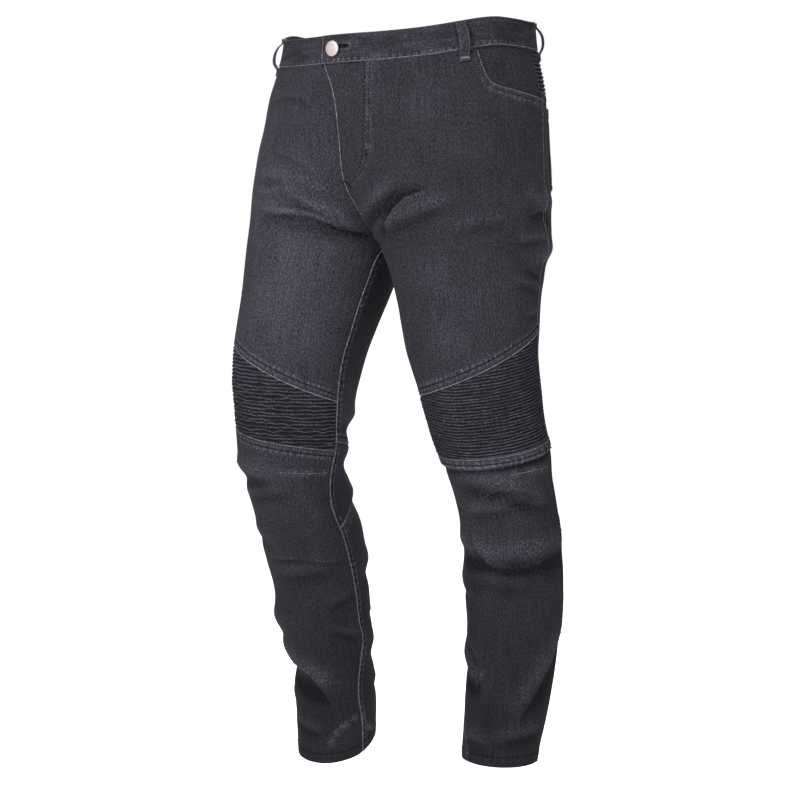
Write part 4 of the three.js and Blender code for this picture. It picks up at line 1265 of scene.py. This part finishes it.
def band_places():
    """(side, place) of each column of the waistband, from its left end round the back to its right end."""
    girth = waist_length("left")
    ends = [(-BAND_LAP + d) / girth for d in (0, 0.5, 1.2, 2.2, 4, 7, 11, 15)]
    places = [("left", p) for p in ends]
    places += [("left", p) for p in np.linspace(0, 0.16, 34)[:-1]]
    places += [("left", p) for p in np.linspace(0.16, 2, 170)]
    places += [("right", p) for p in np.linspace(2, 0, 180)[1:]]
    right_girth = waist_length("right")
    places += [("right", -d / right_girth) for d in (3, 6, 8.5, 9.4, BAND_UNDERLAP)]
    return places


def band_section():
    """(drop, lift) points round the band's section, with rounded edges, a stitched lower edge and a fold."""
    top, low, out, back = 0, BAND_HEIGHT, BAND_PROUD, BAND_PROUD - BAND_THICK
    face = [(d, out - 0.25 * bump(d - low, -1.8, 0.8)) for d in np.linspace(2.2, low - 0.8, 26)]
    edge = [(low - 0.3, out - 0.3), (low, out - 0.9), (low - 0.2, back + 0.4)]
    inside = [(d, back) for d in np.linspace(low - 1.2, 2.2, 12)]
    fold = [(1.0, back + 0.25), (0.25, back + 0.8), (top, back + 1.4), (0.2, out - 0.75), (0.9, out - 0.2)]
    return np.array(face + edge + inside + fold)


def ring_mesh(name, rings, uv, wear_and_shade, fade_and_shade, inside):
    """A closed tube through rings of points, each ring a row of the array, with flat ends."""
    count, around = rings.shape[:2]
    index = np.arange(count * around).reshape(count, around)
    a, b = index[:-1], index[1:]
    faces = np.stack([a, b, np.roll(b, -1, 1), np.roll(a, -1, 1)], -1).reshape(-1, 4)
    polygons = [*faces.tolist(), index[0].tolist(), index[-1][::-1].tolist()]
    mesh = bpy.data.meshes.new(name)
    mesh.from_pydata((rings.reshape(-1, 3) * MM).tolist(), [], polygons)
    for key, values in (("wear_and_shade", wear_and_shade), ("fade_and_shade", fade_and_shade), ("inside", inside), ("groove", 0 * wear_and_shade)):
        layer = mesh.attributes.new(key, "FLOAT", "POINT")
        layer.data.foreach_set("value", values.ravel().astype(np.float32))
    layer = mesh.uv_layers.new(name="cloth")
    flat = (uv.reshape(-1, 2) * MM)[[loop.vertex_index for loop in mesh.loops]]
    layer.data.foreach_set("uv", flat.astype(np.float32).ravel())
    mesh.shade_smooth()
    mesh.set_sharp_from_angle(angle=math.radians(55))
    return mesh


def volume_of(mesh):
    total = 0.0
    mesh.calc_loop_triangles()
    for triangle in mesh.loop_triangles:
        a, b, c = (mesh.vertices[i].co for i in triangle.vertices)
        total += a.dot(b.cross(c))
    return total / 6


def facing_out(mesh):
    if volume_of(mesh) < 0:
        mesh.flip_normals()
    return mesh


def hole_wear_and_shade(side, distance, drop):
    """Pale worn cloth round the buttonhole, and its slot painted dark as the shade inside the cut."""
    if side != "left" or distance > 60:
        return np.zeros(len(drop))
    first, last = BUTTONHOLE
    past = max(first - distance, distance - last, 0)
    reach = np.hypot(past, drop - BUTTONHOLE_DROP)
    # Worn ring round the hole, and painted shade in the slot
    return 0.55 * bump(reach, 3.4, 1.4) - 1.6 * bump(reach, 0, 1.7)


def build_waistband():
    section = band_section()
    drop, proud = section.T
    on_face = proud > 0
    rings, uv, wear_and_shade, fade_and_shade, inside = [], [], [], [], []
    run = 0.0
    previous = None
    for side, place in band_places():
        edge = float(below_waist(side, place, 0))
        distance = place * waist_length(side) if place < 1 else FAR
        lift = float(band_lift(side, np.array(distance)))
        points = on_cloth(side, np.full(len(drop), place), edge - drop, proud + lift)
        middle = points[13]
        run += 0.0 if previous is None else float(np.linalg.norm(middle - previous))
        previous = middle
        wave = math.sin(run / 1.4 + 2.0 * float(soft_noise(run / 17, 3.0)))
        near_edge = bump(drop - BAND_HEIGHT, -4.5, 2.2) * on_face
        points[:, :2] *= 1 + near_edge[:, None] * 0.0009 * wave
        rings.append(points)
        uv.append(np.stack([drop + 900, np.full(len(drop), run)], -1))
        rub = 0.30 * bump(drop, 0, 1.3) + 0.5 * near_edge * (0.35 + 0.65 * wave)
        rub = rub + 0.25 * bump(drop, BAND_HEIGHT, 1.2)
        rub = rub + 0.16 * soft_noise(run / 17 + 9, drop / 5) * on_face
        wear_and_shade.append(rub + hole_wear_and_shade(side, distance, drop))
        fade_and_shade.append(np.full(len(drop), 0.145))
        inside.append((proud < -1.5).astype(float))
    arrays = [np.array(v) for v in (rings, uv, wear_and_shade, fade_and_shade, inside)]
    mesh = facing_out(ring_mesh("waistband", *arrays))
    return show("cloth_waistband", mesh, DENIM), run


waistband, band_run = build_waistband()


def band_points(side, place, drop, lift=0.15):
    """Points on the outer face of the waistband."""
    place = np.asarray(place, float)
    rise = band_lift(side, np.where(place < 1, place * waist_length(side), FAR))
    z = below_waist(side, place, 0) - drop
    return on_cloth(side, place, z, BAND_PROUD + rise + lift)


# Belt loops, strips that are sewn flat at both ends and stand off between
def loop_lift(drop, gap, seat):
    """How far the back of a loop lies above the cloth."""
    rise = float(smooth_table(LOOP_PROFILE)(drop)[0])
    soft = smoothstep(drop, BAND_HEIGHT - 3, BAND_HEIGHT + 3)
    flat = (BAND_PROUD + 0.5) * (1 - soft) + seat * soft
    return flat + (BAND_PROUD + gap - flat) * min(max(rise, 0), 1)


def sew_loop(name, side, place, gap, seat, girth):
    """A row of stitches down each side of a loop and a bar tack across its foot."""
    for edge in (-4.9, 4.9):
        line = []
        for drop in np.linspace(3, 49, 30):
            at = np.array([place + edge / girth])
            lift = loop_lift(drop, gap, seat) + LOOP_THICK + 0.3
            line.append(on_cloth(side, at, below_waist(side, at, drop), lift)[0])
        stitch(name, "faint", line)
    bar = []
    for i in range(46):
        at = np.array([place + (-5.4 + 10.8 * i / 45) / girth])
        drop = 46.8 + (1.1 if i % 2 else -1.1)
        bar.append(on_cloth(side, at, below_waist(side, at, drop), seat + LOOP_THICK + 0.35)[0])
    stitch(name, "pale_bar", bar)


def build_loop(name, side, place, gap, seat):
    girth = waist_length(side, "front" if place <= 1 else "back")
    drops = np.linspace(LOOP_PROFILE[0][0], LOOP_PROFILE[-1][0], 44)
    across = np.array(LOOP_ACROSS)
    count = len(across)
    ridge = 0.25 * bump(np.abs(across), 5.4, 0.8) - 0.35 * (np.abs(across) > 6.3)
    rub = 0.3 * bump(np.abs(across), 6.3, 0.7) + 0.10
    places = place + across / girth
    rings, uv = [], []
    for drop in drops:
        lift = loop_lift(drop, gap, seat)
        z = below_waist(side, places, drop)
        outer = on_cloth(side, places, z, lift + LOOP_THICK + ridge)
        inner = on_cloth(side, places, z, np.full(count, lift))
        rings.append(np.concatenate([outer, inner[::-1]]))
        uv.append(np.concatenate([np.stack([across + 300, np.full(count, -drop)], -1)] * 2))
    wear_and_shade = np.tile(rub, (len(drops), 2))
    fade_and_shade = np.full(wear_and_shade.shape, 0.14)
    mesh = ring_mesh(name, np.array(rings), np.array(uv), wear_and_shade, fade_and_shade, np.zeros(wear_and_shade.shape))
    piece = show("cloth_" + name, facing_out(mesh), DENIM)
    sew_loop(name, side, place, gap, seat, girth)
    return piece


loops = {name: build_loop(name, *facts) for name, facts in BELT_LOOPS.items()}


# The shank button, turned about its own axis
def build_button():
    outline = [
        (0, 0), (5.6, 0), (6, 0.35), (6, 1.25), (6.4, 1.6), (9.0, 1.6), (9.6, 1.75), (9.95, 2.15), (10, 2.6),
        (9.9, 3.2), (9.7, 3.75), (9.3, 4.2), (8.6, 4.5), (7.4, 4.7), (5.6, 4.85), (3.2, 4.96), (0, 5.0),
    ]
    girth = waist_length("left")
    place = np.array([BUTTON_FROM_MIDDLE / girth])
    z = below_waist("left", place, BUTTON_DROP)
    seat = on_cloth("left", place, z, BAND_PROUD + BAND_LIFT + BUTTON_CLEAR)[0]
    out = on_cloth("left", place, z, BAND_PROUD + BAND_LIFT + BUTTON_CLEAR + 1)[0] - seat
    turn = Vector((0, 0, 1)).rotation_difference(Vector(out))
    segments = 72
    vertices, faces = [], []
    for radius, height in outline[1:-1]:
        for k in range(segments):
            angle = 2 * math.pi * k / segments
            vertices.append(Vector((radius * math.cos(angle), radius * math.sin(angle), height)))
    rings = len(outline) - 2
    for r in range(rings - 1):
        for k in range(segments):
            j = (k + 1) % segments
            faces.append([r * segments + k, r * segments + j, (r + 1) * segments + j, (r + 1) * segments + k])
    foot, crown = len(vertices), len(vertices) + 1
    vertices += [Vector((0, 0, 0)), Vector((0, 0, outline[-1][1]))]
    for k in range(segments):
        j = (k + 1) % segments
        faces.append([j, k, foot])
        faces.append([(rings - 1) * segments + k, (rings - 1) * segments + j, crown])
    placed = [((turn @ v) + Vector(seat)) * MM for v in vertices]
    mesh = bpy.data.meshes.new("button")
    mesh.from_pydata([tuple(v) for v in placed], [], faces)
    facing_out(mesh)
    mesh.shade_smooth()
    mesh.set_sharp_from_angle(angle=math.radians(50))
    return show("shank_button", mesh, METAL)


button = build_button()


# Rows of stitches
def seam_row(panel, which, distance, kind, trim=0.0):
    stitch(panel, kind, PANELS[panel].seam_points(which, distance, trim=trim))


def row_on(panel, kind, places, heights, count=40):
    """A row of stitches through given places and heights of a panel."""
    t = np.linspace(0, 1, len(places))
    fine = np.linspace(0, 1, count)
    stitch(panel, kind, PANELS[panel].points(np.interp(fine, t, places), np.interp(fine, t, heights)))


SEAM_ROWS = [  # part, edge, distance inside it, and thread, on both sides
    ("front", "bottom", 1.5, "bright"),
    ("front", "bottom", 10, "dark"),
    ("front", "outer", 1.5, "pale"),
    ("knee", "outer", 1.3, "pale"),
    ("shin", "outer", 1.5, "dark"),
    ("shin", "top", 1.5, "pale"),
    ("shin", "top", 9, "dark"),
    ("shin", "bottom", 14, "dark"),
    ("calf", "bottom", 14, "dark"),
    ("calf", "top", 1.5, "pale"),
    ("calf", "top", 9, "dark"),
    ("back_thigh", "top", 1.5, "pale"),
    ("back_thigh", "top", 7, "dark"),
    ("back_thigh", "bottom", 1.5, "pale"),
    ("back_thigh", "bottom", 9, "dark"),
]
INNER_OVER = {"left": ("front", "knee", "shin"), "right": ("back_thigh", "back_knee", "calf")}
for side in SIDES:
    for part, which, distance, kind in SEAM_ROWS:
        seam_row(f"{part}_{side}", which, distance, kind)
    for edge in ("inner", "outer", "bottom"):
        seam_row(f"back_pocket_{side}", edge, 1.5, "pale")
        seam_row(f"back_pocket_{side}", edge, 7, "dark", trim=6)
    seam_row(f"back_pocket_{side}", "top", 1.5, "dark")
    seam_row(f"back_pocket_{side}", "top", 14, "pale")
    for part in INNER_OVER[side]:
        seam_row(f"{part}_{side}", "inner", 1.4, "bright" if part in ("front", "back_thigh") else "pale")
    if side == "right":
        seam_row("back_thigh_right", "inner", 7, "dark")
        seam_row("back_knee_right", "inner", 6, "dark")
        seam_row("calf_right", "inner", 6, "dark")
    # The pocket's mouth
    panel = PANELS[f"front_{side}"]
    share = np.concatenate([
        np.linspace(POCKET_START, POCKET_START + 0.05, 50),
        np.linspace(POCKET_START + 0.055, 0.995, 40),
    ])
    mouth_z = pocket_line(side)(share)
    for distance, kind in ((1.5, "pale"), (7.5, "faint")):
        girth = half_length(side, "front", mouth_z)
        dx, dz = np.gradient(share * girth), np.gradient(mouth_z)
        size = np.hypot(dx, dz)
        place = share + dz / size * distance / girth
        height = mouth_z - dx / size * distance
        keep = height < band_bottom(side, "front")(np.clip(place, 0, 1)) - 0.5
        stitch(f"front_{side}", kind, panel.points(place[keep], height[keep]))

# The stitched tucks below the knees
for side in SIDES:
    for row in TUCKS[side]:
        row_on(f"shin_{side}", "rust", *zip(*row))

# The fly's curved double row, the second one nearer to the edge, and the rows of the ankle patches
row_on("front_left", "bold", *zip(*J_CURVE), 60)
second_row = [(p - 0.024 * (1 if z > -200 else 0.4), z + 2 * (z < -190)) for p, z in J_CURVE]
row_on("front_left", "bold", *zip(*second_row), 60)
for name, rows in WORN_ROWS.items():
    if name.startswith(("shin", "calf")):
        row_on(name, "faint", *zip(*rows[0]))


def zigzag(panel, kind, place0, z0, place1, z1, half_width, count=14):
    """A bar tack: dense stitches across a short line."""
    t = np.linspace(0, 1, count)
    girth = float(length_at(PANELS[panel].side, np.array(place0), np.array(float(z0))))
    dx, dz = (place1 - place0) * girth, z1 - z0
    size = math.hypot(dx, dz)
    side_step = np.where(np.arange(count) % 2 == 0, 1, -1) * half_width
    place = place0 + t * (place1 - place0) - dz / size * side_step / girth
    height = z0 + t * dz + dx / size * side_step
    stitch(panel, kind, PANELS[panel].points(place, height, 0.35))


# Bar tacks at the ends of the fly's curved row, and a short one on the right inner seam
zigzag("front_left", "dark_bar", 0.008, -214, 0.045, -222, 1.1, 26)
zigzag("front_left", "dark_bar", 0.145, -176, 0.142, -184, 1.1, 20)
zigzag("back_thigh_right", "bright", 2.019, -378, 1.995, -379, 0.1, 6)

# The waistband's stitching
for side in SIDES:
    start = -BAND_LAP / waist_length("left") if side == "left" else 0.05
    places = np.linspace(start + 0.006, 2, 300)
    stitch("waistband", "pale", band_points(side, places, BAND_HEIGHT - 1.8))
end_place = (-BAND_LAP + 1.8) / waist_length("left")
end_drops = np.linspace(2.5, BAND_HEIGHT - 2, 24)
stitch("waistband", "pale", band_points("left", np.full(24, end_place), end_drops))

# The buttonhole's dense edge, a slot that runs from the button towards the wearer's left
def buttonhole_edge(count=120):
    girth = waist_length("left")
    middle, half_width = BUTTON_FROM_MIDDLE + 11, 9.5
    points = []
    for i in range(count):
        angle = 2 * math.pi * i / count
        reach = 1.3 + (0.9 if i % 2 else -0.9)
        across = middle + (half_width + reach) * math.cos(angle)
        drop = BUTTONHOLE_DROP - reach * 1.2 * math.sin(angle)
        points.append(band_points("left", np.array([across / girth]), drop, 0.25)[0])
    return points


stitch("waistband", "dark_bar", buttonhole_edge())


# Geometry Nodes tree that sets a small thread along each row
STITCH_SEED = 3


def stitch_sockets(tree):
    face = tree.interface
    face.new_socket("Geometry", in_out="INPUT", socket_type="NodeSocketGeometry")
    for name, value in (("Pitch", 0.0032), ("Length", 0.0024), ("Breadth", 0.0006)):
        face.new_socket(name, in_out="INPUT", socket_type="NodeSocketFloat").default_value = value
    face.new_socket("Seed", in_out="INPUT", socket_type="NodeSocketInt").default_value = STITCH_SEED
    face.new_socket("Thread", in_out="INPUT", socket_type="NodeSocketMaterial")
    face.new_socket("Geometry", in_out="OUTPUT", socket_type="NodeSocketGeometry")


def one_stitch(tree, given):
    """A small ball drawn out to the length and breadth of a stitch."""
    new, link = tree.nodes.new, tree.links.new
    ball = new("GeometryNodeMeshUVSphere")
    set_inputs(ball, {"Segments": 6, "Rings": 3, "Radius": 0.5})
    size = new("ShaderNodeCombineXYZ")
    shape = new("GeometryNodeTransform")
    for axis, key in enumerate(("Breadth", "Breadth", "Length")):
        link(given.outputs[key], size.inputs[axis])
    link(ball.outputs["Mesh"], shape.inputs["Geometry"])
    link(size.outputs[0], shape.inputs["Scale"])
    return shape.outputs[0]


def stitch_tree():
    tree = bpy.data.node_groups.new("stitches", "GeometryNodeTree")
    stitch_sockets(tree)
    new, link = tree.nodes.new, tree.links.new
    given, result = new("NodeGroupInput"), new("NodeGroupOutput")
    to_curve = new("GeometryNodeMeshToCurve")
    resample = new("GeometryNodeResampleCurve")
    resample.mode = "LENGTH"
    tangent = new("GeometryNodeInputTangent")
    align = new("FunctionNodeAlignRotationToVector")
    align.axis = "Z"
    instance = new("GeometryNodeInstanceOnPoints")
    uneven = new("FunctionNodeRandomValue")
    uneven.data_type = "FLOAT_VECTOR"
    set_inputs(uneven, {"Min": (0.85, 0.85, 0.85), "Max": (1.15, 1.15, 1.05)})
    realize = new("GeometryNodeRealizeInstances")
    smooth = new("GeometryNodeSetShadeSmooth")
    paint = new("GeometryNodeSetMaterial")
    link(given.outputs["Geometry"], to_curve.inputs[0])
    link(to_curve.outputs[0], resample.inputs["Curve"])
    link(given.outputs["Pitch"], resample.inputs["Length"])
    link(resample.outputs[0], instance.inputs["Points"])
    link(one_stitch(tree, given), instance.inputs["Instance"])
    link(tangent.outputs[0], align.inputs["Vector"])
    link(align.outputs[0], instance.inputs["Rotation"])
    link(given.outputs["Seed"], uneven.inputs["Seed"])
    link(uneven.outputs[0], instance.inputs["Scale"])
    link(instance.outputs[0], realize.inputs[0])
    link(realize.outputs[0], smooth.inputs["Geometry"])
    link(smooth.outputs[0], paint.inputs["Geometry"])
    link(given.outputs["Thread"], paint.inputs["Material"])
    link(paint.outputs[0], result.inputs[0])
    return tree


THREADS = {  # material, pitch, length and breadth of a stitch in metres
    "pale": (PALE_THREAD, 0.0030, 0.0027, 0.00080),
    "bright": (PALE_THREAD, 0.0030, 0.0029, 0.00115),
    "faint": (PALE_THREAD, 0.0034, 0.0022, 0.00036),
    "dark": (DARK_THREAD, 0.0047, 0.0034, 0.0013),
    "bold": (DARK_THREAD, 0.0054, 0.0036, 0.0017),
    "rust": (RUST_THREAD, 0.0028, 0.0027, 0.0009),
    "pale_bar": (PALE_THREAD, 0.0016, 0.0016, 0.00034),
    "dark_bar": (DARK_THREAD, 0.0009, 0.0020, 0.0010),
}
STITCH_TREE = stitch_tree()


def sew(piece_name, kind, rows):
    material, pitch, length, breadth = THREADS[kind]
    vertices, edges = [], []
    for row in rows:
        start = len(vertices)
        vertices += (np.asarray(row) * MM).tolist()
        edges += [(start + i, start + i + 1) for i in range(len(row) - 1)]
    mesh = bpy.data.meshes.new("row")
    mesh.from_pydata(vertices, edges, [])
    carrier = show(f"row_{piece_name}_{kind}", mesh, None)
    modifier = carrier.modifiers.new("stitches", "NODES")
    modifier.node_group = STITCH_TREE
    items = STITCH_TREE.interface.items_tree
    sockets = {item.name: item.identifier for item in items if item.in_out == "INPUT"}
    values = {"Pitch": pitch, "Length": length, "Breadth": breadth, "Seed": STITCH_SEED, "Thread": material}
    for key, value in values.items():
        modifier[sockets[key]] = value
    evaluated = carrier.evaluated_get(bpy.context.evaluated_depsgraph_get())
    finished = bpy.data.meshes.new_from_object(evaluated)
    finished.name = f"stitches_{piece_name}_{kind}"
    bpy.data.objects.remove(carrier)
    return show(f"stitches_{piece_name}_{kind}", finished, None)


SEWN = {}
for (piece_name, kind), rows in STITCH_ROWS.items():
    SEWN.setdefault(piece_name, []).append(sew(piece_name, kind, rows))


# What each piece stands for, and what it rides on
def declare(piece, node=None):
    if node:
        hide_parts(node)
    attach(piece, "root")


for name, panel in PANELS.items():
    declare(panel.piece, name)
    width, tall, area = panel.flat
declare(waistband, "waistband")
for name, piece in loops.items():
    declare(piece, name)
declare(button, "button")
for sewn in SEWN.values():
    for piece in sewn:
        declare(piece)

# Floor, light and camera
FLOOR_Z, FLOOR_HALF = -1.30, 30
floor_mesh = bpy.data.meshes.new("floor")
corners = ((-1, -1), (1, -1), (1, 1), (-1, 1))
floor_mesh.from_pydata([(x * FLOOR_HALF, y * FLOOR_HALF, FLOOR_Z) for x, y in corners], [], [(0, 1, 2, 3)])
floor_material, floor_tree, floor_shader = shader("pale_floor")
set_inputs(floor_shader, {
    "Base Color": (0.92, 0.92, 0.92, 1),
    "Roughness": 0.9,
    "Emission Color": (1, 1, 1, 1),
})
light_path = floor_tree.nodes.new("ShaderNodeLightPath")
floor_tree.links.new(light_path.outputs["Is Camera Ray"], floor_shader.inputs["Emission Strength"])
floor = show("floor", floor_mesh, floor_material)

bpy.context.scene.view_settings.view_transform = "Standard"


def build_world():
    """White where the camera looks past the trousers, and a weaker even light on them."""
    world = bpy.data.worlds.new("studio")
    world.use_nodes = True
    n = Nodes(world.node_tree)
    background = world.node_tree.nodes["Background"]
    background.inputs["Color"].default_value = (1, 1, 1, 1)
    seen = n.new("ShaderNodeLightPath").outputs["Is Camera Ray"]
    n.join(n.maths("MULTIPLY_ADD", seen, 0.82, 0.18), background.inputs["Strength"])
    return world


bpy.context.scene.world = build_world()


def soft_light(name, place, aim, size, watts):
    data = bpy.data.lights.new(name, "AREA")
    data.shape = "RECTANGLE"
    data.size, data.size_y = size
    data.energy = watts
    light = bpy.data.objects.new(name, data)
    bpy.context.scene.collection.objects.link(light)
    light.location = place
    light.rotation_euler = (Vector(aim) - Vector(place)).to_track_quat("-Z", "Y").to_euler()
    return light


AZIMUTH, ELEVATION, DISTANCE = math.radians(38), math.radians(5.5), 2.3
right = Vector((math.cos(AZIMUTH), math.sin(AZIMUTH), 0))
towards = Vector((
    math.sin(AZIMUTH) * math.cos(ELEVATION),
    -math.cos(AZIMUTH) * math.cos(ELEVATION),
    math.sin(ELEVATION),
))
aim = Vector((0, 0, -0.510))
up = Vector((0, 0, 1))
soft_light("key", aim + towards * 2.0 - right * 1.1 + up * 1.2, aim + up * 0.1, (0.9, 0.9), 52)
soft_light("fill", aim + towards * 2.2 + right * 1.2 + up * 0.1, aim, (1.2, 1.2), 19)
soft_light("back_top", aim - towards * 2.0 + up * 1.6, aim, (1.5, 1.5), 68)

camera_data = bpy.data.cameras.new("camera")
camera_data.lens = 75
camera_data.sensor_width = 36
camera_data.shift_x = -0.0106
camera = bpy.data.objects.new("camera", camera_data)
bpy.context.scene.collection.objects.link(camera)
camera.location = aim + towards * DISTANCE
camera.rotation_euler = (-towards).to_track_quat("-Z", "Y").to_euler()
bpy.context.scene.camera = camera
